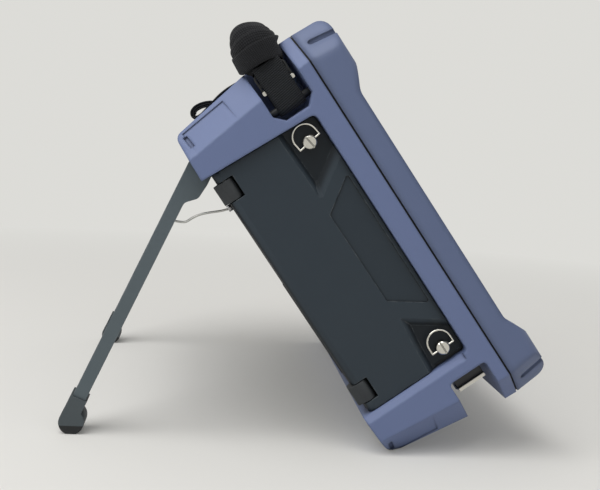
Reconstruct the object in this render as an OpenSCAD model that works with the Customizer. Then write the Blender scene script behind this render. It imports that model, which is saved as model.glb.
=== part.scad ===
// Rugged portable network analyzer, standing on its folding rear stand.
// Each piece is drawn in the case's own frame: x across, y from the parting line to the rear,
// z up the case. standing() then leans the whole instrument back onto the floor.

/* [Case] */
// Width across the two side faces
case_w = 290; // [276:1:304]
// Height of the case along its own upright axis
case_h = 218; // [212:1:224]
// Depth of the front shell at the middle of its rim
front_d = 14.5; // [13.5:0.5:17]
// How far the corner bumpers stand in front of the rim
bumper_d = 6.5; // [4:0.5:9]
// Length of a corner bumper along the rim
bumper_len = 41; // [36:1:46]
// Depth of the rear shell behind the case's middle plane
rear_d = 74.4; // [71:0.1:79]
// Depth of the rail behind the parting line
rail_d = 10; // [9:0.5:12]
// Slanted face across each outer corner
corner = 15.2; // [12:0.1:18]
// Fall of the top face towards the rear, degrees
face_fall = 8.6; // [7:0.1:10]
// Rise of the bottom face towards the rear, degrees
toe_fall = 10; // [8:0.1:11]
// Fall of the slanted corner faces towards the rear, degrees
corner_fall = 6.4; // [5:0.1:9]
// Rise of the upper block's underside towards the rear, degrees
under_rise = 2.6; // [0:0.1:4]
// Spread of the corner faces towards the front, degrees
front_fall = 8; // [4:0.5:10]
// Height of the lower rear block
lower_block = 37.7; // [36:0.1:40]
// Height of the upper rear block
upper_block = 37.9; // [36:0.1:40]
// Wall of the inner housing
wall = 3; // [2.5:0.25:3.5]
// Thickness of the parting gasket
seam = 1; // [0.6:0.1:1.4]
// Distance of the parting line in front of the case's middle plane
seam_y = 1.7; // [1:0.1:2.5]

/* [Bays] */
// Width of the connector bay in the bottom face
bay_w = 21.6; // [20.5:0.1:22.5]
// Depth of the connector bay
bay_h = 28.4; // [26:0.1:30]
// Width of a strap pocket in the top corner
pocket_w = 23; // [21:0.5:24]
// Depth of a strap pocket below the top face
pocket_h = 33.3; // [32:0.1:34.5]
// Length of a strap pocket in from the side face
pocket_l = 28; // [24:0.5:30]

/* [Side doors] */
// Set-back of the door face from the side face
door_recess = 4; // [3.5:0.25:5]
// Thickness of the door plate
door_t = 4; // [3.5:0.25:5]
// Depth of the two screw pockets in the door
screw_pocket = 2.4; // [1.8:0.1:2.6]
// Gap round the door
door_gap = 0.5; // [0.4:0.1:0.8]
// Radius of the door's hinge barrel
barrel_r = 4; // [3.5:0.1:4.4]
// Radius of the door's hinge pins
hinge_pin_r = 1.5; // [1.2:0.1:1.8]
// Length of a fixed hinge knuckle
knuckle_l = 10.6; // [9:0.1:13]
// Distance of a knuckle from the end of the door
knuckle_end = 5.4; // [4:0.1:8]
// Radius of a captive screw's head
screw_head_r = 3.5; // [3:0.1:4]
// Radius of a captive screw's shank
screw_r = 2; // [1.6:0.1:2.3]
// Radius of the ring wire
ring_wire = 0.5; // [0.4:0.05:0.6]
// Half width of a screw ring, to the middle of its wire
ring_half = 6.3; // [5.6:0.1:6.8]
// Reach of a screw ring from its pivot, to the middle of its wire
ring_reach = 9.8; // [9:0.1:10.4]

/* [Stand] */
// Distance from the stand's pivot to the middle of its foot
leg_len = 145; // [138:0.5:150]
// Width of a leg seen from the side
leg_w = 7; // [6:0.1:8]
// Width of a leg seen from behind
leg_web = 15; // [12:0.5:16]
// Sheet thickness of the stand
leg_t = 2; // [1.6:0.1:2.4]
// Distance of a leg's outer face from the middle of the case
leg_x = 123; // [119:0.5:124]
// Angle from folded to open, degrees
stand_open = 60.2; // [57:0.1:64]
// Radius of the stand's pivot pins
pivot_r = 2; // [1.6:0.1:2.4]
// Radius of the rubber feet
foot_r = 6.5; // [6:0.1:7]
// Height of the cross plate along the legs
plate_h = 44; // [30:1:60]

/* [Strap] */
// Width of the webbing
webbing_w = 15; // [13:0.5:16]
// Thickness of the webbing
webbing_t = 1.3; // [1:0.1:1.5]
// Radius of the strap bars
strap_bar_r = 2; // [1.6:0.1:2.4]
// Outer radius of the rolled strap
roll_r = 13; // [12.4:0.1:13.4]
// Turns in the rolled strap
roll_turns = 4.25; // [3:0.25:4.5]

/* [Front] */
// Width of the front panel
panel_w = 248; // [236:1:254]
// Height of the front panel
panel_h = 164; // [156:1:168]
// Thickness of the front panel
panel_t = 2.5; // [2.2:0.1:3]
// Set-back of the front panel from the rim
panel_recess = 3.5; // [3:0.25:4.5]
// Width of the display window
glass_w = 180; // [160:1:184]
// Height of the display window
glass_h = 132; // [120:1:140]
// Thickness of the display window
glass_t = 1.8; // [1.2:0.1:2]
// Width of a soft key
key_w = 26; // [20:0.5:30]
// Height of a soft key
key_h = 12; // [10:0.5:13]
// How far the keys stand out of the panel
key_proud = 1; // [0.9:0.1:1.5]
// Travel of a key
key_travel = 0.7; // [0.5:0.1:0.8]

/* [Connectors] */
// Radius of the coaxial port's outer barrel
port_r = 7.94; // [7:0.01:8.2]
// Length of the coaxial port's barrel
port_l = 10; // [8:0.1:11]
// Distance of the first port from the middle of the case
port_x = 122; // [114:0.5:124]
// Spacing of the two ports
port_pitch = 58; // [40:1:64]

/* [Hidden] */
$fn = 48;

half_w = case_w / 2;
mid_z = case_h / 2;
big = 600;
eps = 0.01;
fit = 0.3;          // gap between pieces that lie beside each other
run = 0.05;         // radial clearance of a turning fit
arc_steps = 5;      // facets on a rounded edge
rim_round = 6;      // edge radius of the bumpers
side_wall = 7;      // side wall of the two shells

// Rear shell
flat_y = 6;                                              // level part of the top and bottom faces
draft = 1;                                               // lean of the rear faces
toe_y = rear_d - 1.4;                                    // rear face of the lower block
edge_y = rear_d - draft;
fall_z = (edge_y - flat_y) * tan(face_fall);
rise_z = (toe_y - draft - flat_y) * tan(toe_fall);
seam_front = -seam_y - seam / 2;
seam_rear = -seam_y + seam / 2;
gap_z0 = lower_block;
gap_z1 = case_h - upper_block;
bay_y0 = 5.6;
bay_y1 = bay_y0 + bay_w;
bay_mid = bay_y0 + bay_w / 2;
pocket_y0 = 5.3;
pocket_y1 = pocket_y0 + pocket_w;
pocket_mid = pocket_y0 + pocket_w / 2;
pocket_z = case_h - pocket_h;
pocket_chamfer = 5;
ledge = [door_recess, 3.2];                              // slope along the lower block's top edge

// Base pads and the lean of the case on its stand
pad_r = 7;
floor_cut = 0.5;                                         // flat on the pads and feet
pad_drop = pad_r - floor_cut;
foot_drop = foot_r - floor_cut;
pad_y = toe_y - 7.4;
pad_z = rise_z + 5.6;
pad_x = [86, 128];
pivot_y = rear_d - 2.4;
pivot_z = gap_z1 + 5.6;
foot_t = 3;                                              // foot middle, out from the pivot line
foot_y = pivot_y + leg_len * sin(stand_open) + foot_t * cos(stand_open);
foot_z = pivot_z - leg_len * cos(stand_open) + foot_t * sin(stand_open);
foot_span = norm([foot_y - pad_y, foot_z - pad_z]);
lean = atan2(foot_z - pad_z, foot_y - pad_y) + asin((pad_drop - foot_drop) / foot_span);
bump_y = front_d + bumper_d;
toe_z = 0.8;
front_reach = (-bump_y + rim_round) * cos(lean) + (toe_z + rim_round) * sin(lean) - rim_round;
rear_reach = foot_y * cos(lean) + foot_z * sin(lean) + foot_r;
shift_y = -(front_reach + rear_reach) / 2;
shift_z = pad_y * sin(lean) - pad_z * cos(lean) + pad_drop;

// Inner housing and side doors
door_x = half_w - door_recess;                           // outer face of the door
sill_x = door_x - door_t;                                // inner face of the door
core_x = sill_x - 0.4;
cover_t = 3.4;
core_y1 = rear_d - 8.4;
cover_y = core_y1 + cover_t;
door_y0 = rail_d + 0.4;
door_z0 = gap_z0 + door_gap;
door_z1 = gap_z1 - door_gap;
axis_x = -(door_x - barrel_r);                           // hinge axis of the door
axis_y = cover_y - barrel_r - 0.4;
seat_r = barrel_r + 0.5;
knuckle_r = barrel_r + 0.2;
knuckle_back = rear_d - 2.8;
knuckle_slope = 2.2;                                     // room behind the knuckle for the open door
knuckles = [door_z0 + knuckle_end, door_z1 + under(axis_y) - knuckle_end - knuckle_l];
pin_reach = 8;                                           // pin length in the door at each end
bay_y = [rail_d + 6, core_y1 - 6];
bay_z = [gap_z0 + 6, gap_z1 - 6];
bay_back = -30;                                          // back wall of the battery bay
screw_y = 19.5;
screw_z = [door_z0 + 7.3, door_z1 - 9.9];
screw_tip = sill_x - 6;
receptacle_r = 3.4;
receptacle_outer = 5;
receptacle_l = 5;
boss = [8.6, 16, 16];                                    // corner boss behind each captive screw
ring_turn = [0, 9];                                      // how the rings lie, degrees towards the rear
ring_x = door_x + 0.8;                                   // ring pivot, clear of the door face
head_top = ring_x + 1.3;
head_edge = 0.6;                                         // bevel round the head
head_base = door_x - screw_pocket + fit;
ring_pin_in = 2;                                         // inner end of a ring's pivot wire
rear_cover_x0 = -(door_x - 2 * barrel_r - 1);

// Stand
leg_out = 1.4;                                           // inner edge of a leg, out from the pivot line
leg_back = leg_out + leg_w;
ear_r = 5;
ear_w = 6;
notch_side = 2.5;                                        // room beside the ear in the hinge notch
notch_x = [leg_x - leg_web - notch_side, leg_x + notch_side];
notch_y = pivot_y - 12;
notch_z = pivot_z + 11;
pin_grip = 3;                                            // pivot pin length in each notch wall
flange_top = 1.5;                                        // start of a leg's flange below the pivot
plate_s = 16;                                            // start of the cross plate below the pivot
plate_band = [12, 11];                                   // plate left beside and above its window
plate_round = 6;
rivet_r = 2;
rivet_inset = 8;
rivet_head = 0.8;
foot_w = leg_web + 2;
foot_s = 13;                                             // length of the foot's cap along the leg
lanyard_r = 0.6;
lanyard_x = -(leg_x - leg_t - 2.4);
lanyard_leg_s = 29;
lanyard_case_z = gap_z1 - 17.4;
anchor_r = 1.8;
anchor_l = 2.4;
lanyard_start = [lanyard_x, cover_y + anchor_l, lanyard_case_z];
lanyard_end = [lanyard_x, pivot_y + lanyard_leg_s * sin(stand_open) + leg_out * cos(stand_open),
    pivot_z - lanyard_leg_s * cos(stand_open) + leg_out * sin(stand_open)];
lanyard_bends = [[0.14, -0.1], [0.34, 0.4], [0.52, 0.5], [0.68, -0.4], [0.84, -1.6]];
ferrule_r = 1.4;
ferrule_l = 5;

// Strap
bar_x = half_w - 9;
bar_z = pocket_z + 6;
bar_seat = 2;                                            // strap bar length in each pocket wall
loop_in = strap_bar_r + 0.3;
loop_out = loop_in + webbing_t;
slider = [webbing_w + 3, 11, 1.6];
slider_z = bar_z + 15;
slider_slot = webbing_t + 1.9;
slider_web = 2;
strap_top = case_h - 5.3;
roll_x = -(half_w - 17);
roll_base = case_h - 5.3;
roll_neck = pocket_w / 2 - 1.2;                          // radius of the roll inside the pocket's mouth
roll_flare = [4.6, 8, webbing_w];                        // heights where the roll widens and ends
roll_step = 2.1;                                         // each turn lies this much further in
roll_rise = 1.7;                                         // and this much higher
roll_tilt = 7;
roll_sides = 24;
tab_y = pocket_mid - 5;
tab_x = half_w - 17;
tab_z = case_h + 0.6;
tab_eye = [rear_d - 20, case_h - 1.8];                   // middle of the loop at the tab's end
tab_rim = [[-7, -2.7, 6], [4.2, -5, 3], [8.4, 2.4, 3.4], [-3.4, 6.4, 6]];
tab_hole = [[-3.8, 0.3, 0.8], [2.4, -2, 1.2], [4.6, 0.8, 1.2], [-2, 3, 1.4]];

// Front
panel_back = -(front_d - panel_recess - panel_t);
panel_front = panel_back - panel_t;
ledge_w = 6;
flange_t = 3;
panel_round = 8;
glass_edge = 3;
glass_side = 7;                                          // panel left of the display window
glass_mid = -panel_w / 2 + glass_side + glass_w / 2;
glass_back = panel_front + glass_t;
lcd_t = 5;
keys_x = (glass_mid + glass_w / 2 + panel_w / 2) / 2 - 1;
key_pitch = key_h + 6;
key_count = 6;
key_z0 = mid_z - panel_h / 2 + 40;
key_back = panel_back - fit - key_travel;
key_round = 2.5;
power_r = 6;
power_z = key_z0 - 18;
mat_t = 1.2;
mat_edge = 2;

// Inside
board_y = [1, 2.6];
board_margin = 4.3;
board_side = 20;
board = [case_w - 2 * board_side, gap_z1 - bay_h - wall - 2 * board_margin];
board_mid = (bay_h + wall + gap_z1) / 2;
chip = [28, 32, 4];
chips = [-80, -30, 60];
post_r = 3;
post_inset = [37, 11, 13];                               // posts in from the side, lower and upper edges
posts = [for (x = [-1, 0, 1], z = [gap_z0 + post_inset[1], gap_z1 - post_inset[2]])
    [x * (half_w - post_inset[0]), z]];
battery_x = [-(core_x - boss.x - 1), bay_back - 6];
battery_t = (bay_y[1] - bay_y[0] - 3 * fit) / 2;
battery_h = bay_z[1] - bay_z[0] - 4;
battery_grip = [28, 2];                                  // length and depth of the pull recess
contacts = [6, 30, 24];
rf_size = [80, 26, 62];
rf_x = -20;
fan_size = 40;
fan_t = 10;
fan_z = mid_z - 2;
fan_y = (bay_y[0] + bay_y[1]) / 2;
fan_hub = 9;
fan_axle = 1;
fan_blades = 7;
fan_bore = fan_size / 2 - 1;
blade_r = fan_bore - 0.7;

// Connectors in the bottom bay
port_flange = 1.5;
port_plate = 17.4;
port_bore = 4.1;
port_pin_r = 1.5;
port_stub = 2.6;
ports = [-port_x, -port_x + port_pitch];
bay_round = (bay_w - port_plate) / 2 - 0.1;              // upper corners of the bay, clear of a flange
guard_x = -(half_w - 5.5);                               // outer edge of the bracket's hem
guard_t = 1.2;
guard_hem = [3.1, 2];                                    // reach and height of the hem
guard_drop = 8.2;                                        // lower edge below the bay's ceiling
guard_w = bay_w - 2 * bay_round - 1.8;
lan_side = 119;                                          // sockets in from the other side face
usb_side = [91, 67];
dc_side = 37;
lan_x = half_w - lan_side;
usb_x = [half_w - usb_side[0], half_w - usb_side[1]];
dc_x = half_w - dc_side;
jack_drop = 3;
lan_size = [16, 13.5];
usb_size = [14.5, 7];
shell_t = 0.8;
dc_r = 5.5;
dc_bore = 3.2;

// Leans the instrument back so that its pads and feet share the floor
module standing() {
    translate([0, shift_y, shift_z])
        rotate([-lean, 0, 0])
            children();
}

// Everything below the floor, in the case's own frame
module floor_space() {
    rotate([lean, 0, 0])
        translate([-big / 2, -shift_y - big / 2, -shift_z - big])
            cube(big);
}

// The stand's own frame: pivot at the origin, legs down, opened to the rear
module on_stand() {
    translate([0, pivot_y, pivot_z])
        rotate([stand_open, 0, 0])
            children();
}

module along_x(x0, x1) {
    translate([x0, 0, 0])
        rotate([90, 0, 90])
            linear_extrude(x1 - x0)
                children();
}

module along_y(y0, y1) {
    translate([0, y1, 0])
        rotate([90, 0, 0])
            linear_extrude(y1 - y0)
                children();
}

module along_z(z0, z1) {
    translate([0, 0, z0])
        linear_extrude(z1 - z0)
            children();
}

// A box between two corners
module box(low, high) {
    translate(low)
        cube(high - low);
}

// A cylinder along x from x0 to x1 through (y, z)
module rod_x(x0, x1, y, z, r) {
    translate([x0, y, z])
        rotate([0, 90, 0])
            cylinder(r = r, h = x1 - x0);
}

// A cylinder along y from y0 to y1 through (x, z)
module rod_y(y0, y1, x, z, r) {
    translate([x, y0, z])
        rotate([-90, 0, 0])
            cylinder(r = r, h = y1 - y0);
}

// Rise of the upper block's underside at depth y
function under(y) = (y - rail_d) * tan(under_rise);

function unit(v) = v / norm(v);

// Arc that rounds the corner b between a and c
function fillet(a, b, c, r) =
    let (u = unit(a - b), v = unit(c - b), half = acos(u * v) / 2,
        o = b + unit(u + v) * r / sin(half),
        p = b + u * r / tan(half), q = b + v * r / tan(half),
        a0 = atan2(p.y - o.y, p.x - o.x), turn = atan2(q.y - o.y, q.x - o.x) - a0,
        sweep = turn > 180 ? turn - 360 : turn < -180 ? turn + 360 : turn)
    [for (i = [0:arc_steps]) o + r * [cos(a0 + sweep * i / arc_steps), sin(a0 + sweep * i / arc_steps)]];

// Outline through [x, y, radius] corners
function rounded(corners) =
    let (n = len(corners), p = [for (c = corners) [c.x, c.y]])
    [for (i = [0:n - 1]) each corners[i].z > 0
        ? fillet(p[(i + n - 1) % n], p[i], p[(i + 1) % n], corners[i].z) : [p[i]]];

function rect(w, h, r) =
    rounded([[-w / 2, -h / 2, r], [w / 2, -h / 2, r], [w / 2, h / 2, r], [-w / 2, h / 2, r]]);

// Rim with a bumper at each end of its length: [depth, along]
function rim_corners(length) =
    [[seam_front, 0, 0], [-bump_y, toe_z, rim_round], [-bump_y, bumper_len - 13, 10],
        [-front_d, bumper_len, 10], [-front_d, length - bumper_len, 10],
        [-bump_y, length - bumper_len + 13, 10], [-bump_y, length - toe_z, rim_round],
        [seam_front, length, 0]];

// Outline of the case in x and z, with slanted corners
function case_outline(inset) =
    let (x = half_w - inset, z0 = inset, z1 = case_h - inset, c = corner - inset * 0.59)
    [[-x, z0 + c], [-x + c, z0], [x - c, z0], [x, z0 + c],
        [x, z1 - c], [x - c, z1], [-x + c, z1], [-x, z1 - c]];

// Places children on the slanted face of each outer corner: x out of the face, y to the rear
module each_corner(fall, sides = [0, 1]) {
    for (side = sides, top = [0, 1])
        mirror([1 - side, 0, 0])
            translate([0, 0, mid_z])
                mirror([0, 0, 1 - top])
                    translate([half_w, 0, mid_z - corner])
                        rotate([-fall, 0, 0])
                            rotate([0, -45, 0])
                                children();
}

module corner_cuts(fall) {
    each_corner(fall)
        translate([0, -big / 2, -big / 2])
            cube(big);
}

// Slope of the slanted face measured across it
corner_face = corner * sqrt(2);

module front_shell() {
    color("#5c6487")
        difference() {
            intersection() {
                along_x(-half_w, half_w)
                    polygon(rounded(rim_corners(case_h)));
                along_z(0, case_h)
                    polygon([for (p = rounded(rim_corners(case_w))) [p.y - half_w, p.x]]);
            }
            corner_cuts(-front_fall);
            translate([0, 0, mid_z]) {
                along_y(-2 * bump_y, panel_back)
                    polygon(rect(panel_w + 2 * fit, panel_h + 2 * fit, panel_round + fit));
                along_y(panel_back - eps, panel_back + flange_t + eps)
                    polygon(rect(panel_w - 2 * ledge_w, panel_h - 2 * ledge_w, panel_round));
            }
            along_y(panel_back + flange_t, seam_rear)
                polygon(case_outline(side_wall));
            bumper_grooves();
        }
}

// Round-ended groove along the slanted face of each front bumper
groove_r = 1.9;
groove_y = 7;
groove_sink = 0.4;                                       // groove's middle below the slanted face
module bumper_grooves() {
    each_corner(-front_fall)
        translate([-groove_sink, -groove_y, corner_face * 0.55]) {
            rotate([90, 0, 0])
                cylinder(r = groove_r, h = bump_y);
            sphere(groove_r);
        }
}

module case_gasket() {
    color("#15171a")
        along_y(seam_front, seam_rear)
            difference() {
                polygon(case_outline(0.9));
                polygon(case_outline(side_wall - 1));
            }
}

module rear_shell() {
    color("#5c6487") {
        difference() {
            along_x(-half_w, half_w)
                polygon(rounded([[seam_rear, 0, 0], [flat_y, 0, 12], [toe_y - draft, rise_z, 8],
                    [toe_y, lower_block, 0], [rear_d, gap_z1, 0], [edge_y, case_h - fall_z, 4],
                    [flat_y, case_h, 12], [seam_rear, case_h, 0]]));
            corner_cuts(corner_fall);
            along_x(-big, big)
                polygon([[rail_d, gap_z0], [2 * rear_d, gap_z0],
                    [2 * rear_d, gap_z1 + under(2 * rear_d)], [rail_d, gap_z1]]);
            box([side_wall - half_w, -2 * seam_y, bay_h + wall],
                [half_w - side_wall, rail_d + eps, gap_z1 - 1]);
            block_hollows();
            along_x(-big, big)
                polygon(rounded([[bay_y0, -1, 0], [bay_y1, -1, 0],
                    [bay_y1, bay_h, bay_round], [bay_y0, bay_h, bay_round]]));
            for (side = [0, 1])
                mirror([side, 0, 0]) {
                    strap_pocket();
                    hinge_notch();
                    side_ledge();
                    pad_seat();
                }
            rear_slots();
            for (x = ports)
                translate([x, bay_mid, bay_h - eps])
                    cylinder(r = port_bore, h = port_stub);
            case_screw_holes();
        }
        for (side = [0, 1])
            mirror([side, 0, 0])
                along_x(half_w - side_wall, half_w)
                    opening_corners(opening_r);
    }
}

// Weight-saving hollows that open towards the inner housing
hollow_x = [100, 130];
module block_hollows() {
    box([-hollow_x[0], rail_d + wall, gap_z1 - eps], [hollow_x[0], core_y1, case_h - fall_z - 5]);
    box([-hollow_x[1], bay_y1 + wall + 1, rise_z + 4], [hollow_x[1], core_y1 - 16, gap_z0 + eps]);
}

module strap_pocket() {
    along_x(half_w - pocket_l, big)
        polygon([[pocket_y0, big], [pocket_y0, pocket_z + pocket_chamfer],
            [pocket_y0 + pocket_chamfer, pocket_z], [pocket_y1 - pocket_chamfer, pocket_z],
            [pocket_y1, pocket_z + pocket_chamfer], [pocket_y1, big]]);
    rod_y(pocket_y0 - bar_seat, pocket_y1 + bar_seat, bar_x, bar_z, strap_bar_r);
}

module hinge_notch() {
    box([notch_x[0], notch_y, gap_z1 - 1], [notch_x[1], big, notch_z]);
    rod_x(notch_x[0] - pin_grip, notch_x[1] + pin_grip, pivot_y, pivot_z, pivot_r);
}

// Slope that runs from the side face down to the sunk door
module side_ledge() {
    along_y(rail_d, big)
        polygon([[half_w + eps, gap_z0 + eps], [half_w + eps, gap_z0 - ledge.y],
            [half_w - ledge.x, gap_z0 + eps]]);
}

module pad_seat() {
    rod_x(pad_x[0], pad_x[1], pad_y, pad_z, pad_r);
}

// Narrow slot and shallow panel at the rear of each slanted corner face
slot_size = [3, 2.2, 9];
slot_at = [67.6, 5.6];                                   // corner of the slot, along and across the face
relief = [43, 68.8, 17];                                 // front, rear and upper edge of the panel
relief_lean = 2.2;
module rear_slots() {
    each_corner(corner_fall) {
        translate([-slot_size.x / 2, slot_at.x, slot_at.y])
            cube(slot_size);
        rotate([0, -relief_lean, 0])
            translate([0, relief[0], 0])
                cube([2, relief[1] - relief[0], relief[2]]);
    }
}

// Screws that draw the two shells together, sunk in the rear faces
case_screw = [[half_w - 14, lower_block - 8], [half_w - 14, gap_z1 + 12]];
case_screw_r = 3;
case_screw_l = 2.4;
case_screw_sink = 5;
module case_screw_holes() {
    for (side = [0, 1], p = case_screw)
        mirror([side, 0, 0])
            rod_y(rear_d - case_screw_sink, big, p.x, p.y, case_screw_r + fit);
}

module case_screws() {
    color("#9a9ca0")
        for (side = [0, 1], p = case_screw)
            mirror([side, 0, 0])
                screw_head(p.x, p.y, rear_d - case_screw_sink, case_screw_r, case_screw_l);
}

// Button head facing the rear, with a six-sided socket
module screw_head(x, z, y, r, l) {
    difference() {
        rod_y(y, y + l, x, z, r);
        translate([x, y + l / 3, z])
            rotate([-90, 0, 0])
                cylinder(r = r * 0.55, h = l, $fn = 6);
    }
}

module base_pads() {
    color("#26292d")
        difference() {
            for (side = [0, 1])
                mirror([side, 0, 0])
                    rod_x(pad_x[0], pad_x[1], pad_y, pad_z, pad_r);
            floor_space();
        }
}

module core_housing() {
    color("#2c3136") {
        difference() {
            union() {
                difference() {
                    box([-core_x, rail_d, gap_z0], [core_x, core_y1, gap_z1]);
                    box([-big, bay_y[0], bay_z[0]], [bay_back, bay_y[1], bay_z[1]]);
                    box([bay_back + 2 * wall, bay_y[0], bay_z[0]], [big, bay_y[1], bay_z[1]]);
                    translate([axis_x, axis_y, 0])
                        cylinder(r = seat_r, h = big);
                    box([-big, axis_y, 0], [axis_x, big, big]);
                }
                screw_bosses();
                for (z = knuckles)
                    knuckle(z);
            }
            for (z = screw_z)
                rod_x(-core_x - eps, -core_x + receptacle_l, screw_y, z, receptacle_outer);
            for (z = screw_z)
                rod_x(-core_x - eps, -core_x + receptacle_l + 2, screw_y, z, receptacle_r);
            for (z = knuckles)
                translate([axis_x, axis_y, z - 1])
                    cylinder(r = hinge_pin_r, h = knuckle_l + 2);
        }
        for (p = posts)
            rod_y(board_y[1], rail_d, p.x, p.y, post_r);
    }
}

module screw_bosses() {
    box([-core_x, rail_d, bay_z[0] - eps], [-core_x + boss.x, rail_d + boss.y, bay_z[0] + boss.z - 6]);
    box([-core_x, rail_d, bay_z[1] - boss.z], [-core_x + boss.x, rail_d + boss.y, bay_z[1] + eps]);
}

// Fixed knuckle: round on the side that the door sweeps, square behind
module knuckle(z) {
    along_z(z, z + knuckle_l) {
        translate([axis_x, axis_y])
            circle(knuckle_r);
        polygon(rounded([[axis_x - knuckle_r, axis_y, 0], [axis_x + 2 * knuckle_r, axis_y, 0],
            [axis_x + 2 * knuckle_r, core_y1, 0], [axis_x + knuckle_r, knuckle_back, 1.5],
            [axis_x - knuckle_r + knuckle_slope, knuckle_back, 2]]));
    }
}

cover_rib = [2.2, 1.2];
rib_pitch = 30;
rib_count = 3;                                           // ribs on each side of the middle one
rib_span = [12, 72];
knuckle_room = [3, 5];                                   // opening in the cover below and above a knuckle
ear_room = [leg_x - ear_w - 1, notch_x[1], 22];           // opening in the cover for a folded leg's ear
module rear_cover() {
    color("#31363b")
        difference() {
            union() {
                box([rear_cover_x0, core_y1, door_z0], [door_x - 0.4, cover_y, door_z1 + under(core_y1)]);
                for (i = [-rib_count:rib_count])
                    box([i * rib_pitch - cover_rib.x / 2, cover_y - eps, gap_z0 + rib_span[0]],
                        [i * rib_pitch + cover_rib.x / 2, cover_y + cover_rib.y, gap_z0 + rib_span[1]]);
            }
            for (z = knuckles)
                along_z(z - knuckle_room[0], z + knuckle_l + knuckle_room[1])
                    polygon([[-big, core_y1 - 1], [axis_x + 2 * knuckle_r + fit, core_y1 - 1],
                        [axis_x + 2 * knuckle_r + fit, big], [-big, big]]);
            for (side = [0, 1])
                mirror([side, 0, 0])
                    box([ear_room[0], core_y1 - 1, pivot_z - ear_room[2]], [ear_room[1], big, big]);
            for (p = cover_screw)
                rod_y(cover_y - 1.8, big, p.x, p.y, cover_screw_r + fit);
        }
}

cover_screw_r = 2.5;
cover_screw_l = 1.6;
cover_screw_inset = [45, 6, 8];                          // in from the side, lower and upper edges
cover_screw = [for (x = [-1, 0, 1], z = [gap_z0 + cover_screw_inset[1], gap_z1 - cover_screw_inset[2]])
    [x * (half_w - cover_screw_inset[0]), z]];
module rear_cover_screws() {
    color("#9a9ca0")
        for (p = cover_screw)
            screw_head(p.x, p.y, cover_y - 1.8, cover_screw_r, cover_screw_l);
}

vent = [3, 30];
vent_pitch = 6;
module right_cover() {
    color("#2c3136")
        difference() {
            box([sill_x - 0.4, door_y0, door_z0], [door_x, cover_y, door_z1 + under(rear_d)]);
            above_door();
            along_x(0, big)
                opening_corners(opening_r - door_y0 + rail_d);
            box([0, core_y1 - eps, 0], [door_x - 0.4 + fit, big, big]);
            for (z = [fan_z - 3 * vent_pitch:vent_pitch:fan_z + 3 * vent_pitch])
                box([0, fan_y - vent.y / 2, z - vent.x / 2], [big, fan_y + vent.y / 2, z + vent.x / 2]);
            for (p = right_screw)
                rod_x(door_x - 1.8, big, p.x, p.y, cover_screw_r + fit);
        }
}

right_screw = [for (y = [screw_y - 3, core_y1 - 8], z = screw_z) [y, z]];
module right_cover_screws() {
    color("#9a9ca0")
        for (p = right_screw)
            difference() {
                rod_x(door_x - 1.8, door_x - 1.8 + cover_screw_l, p.x, p.y, cover_screw_r);
                translate([door_x - 1, p.x, p.y])
                    rotate([0, 90, 0])
                        cylinder(r = cover_screw_r * 0.55, h = cover_screw_l, $fn = 6);
            }
}

// Relief of the door in y and z: two screw pockets and a shallow panel between them
pocket_back = 31;                                        // rear edge of the screw pockets
rib_reach = 17.5;                                        // how far the slanted ribs run to the front edge
panel_depth = 0.8;
pocket_taper = 0.85;                                     // floor of a pocket against its rim
upper_pocket = [[door_y0 - 1, door_z1 + 2], [pocket_back + 0.6, door_z1 + 2], [pocket_back, door_z1 - 18.6],
    [pocket_back - 0.5, door_z1 - 35.4], [pocket_back - 2.1, door_z1 - 36.2], [door_y0 - 1, door_z1 - 23.5]];
lower_pocket = [[door_y0 - 1, door_z0 - 1], [pocket_back + 1.6, door_z0 - 1], [pocket_back + 0.2, door_z0 + 19.8],
    [pocket_back - 1.3, door_z0 + 32.3], [door_y0 - 1, door_z0 + 17.9]];
upper_hub = [door_y0 + 1.6, door_z1 + 19.4];             // where the pockets' walls lean to
lower_hub = [door_y0 + 0.6, door_z0 - 11.2];
door_panel = [[door_y0 + 2, door_z0 + 30.5, 1], [pocket_back - 0.6, door_z0 + 43.3, 1],
    [pocket_back - 0.2, door_z1 - 45.6, 1], [door_y0 + 2, door_z1 - 33, 1]];

// Pocket with sloped walls in the door's outer face
module screw_recess(outline, hub) {
    translate([-door_x - eps, hub.x, hub.y])
        rotate([90, 0, 90])
            linear_extrude(screw_pocket + eps, scale = pocket_taper)
                translate(-hub)
                    polygon(outline);
}

// Round front corners of the side openings; the doors follow them
opening_r = 2.8;
opening_reach = 3.4;
opening_mid = [[rail_d + opening_r, gap_z0 + opening_r, 1], [rail_d + opening_r, gap_z1 - opening_r, 0]];
module opening_corners(r) {
    for (m = opening_mid)
        translate([m.x, m.y])
            mirror([0, m.z])
                difference() {
                    translate([-r - opening_reach, 0])
                        square(r + opening_reach);
                    circle(r);
                }
}

// Space above the doors, which follow the upper block's underside
module above_door() {
    along_x(-big, big)
        polygon([[0, door_z1 + under(0)], [2 * rear_d, door_z1 + under(2 * rear_d)],
            [2 * rear_d, big], [0, big]]);
}

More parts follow.
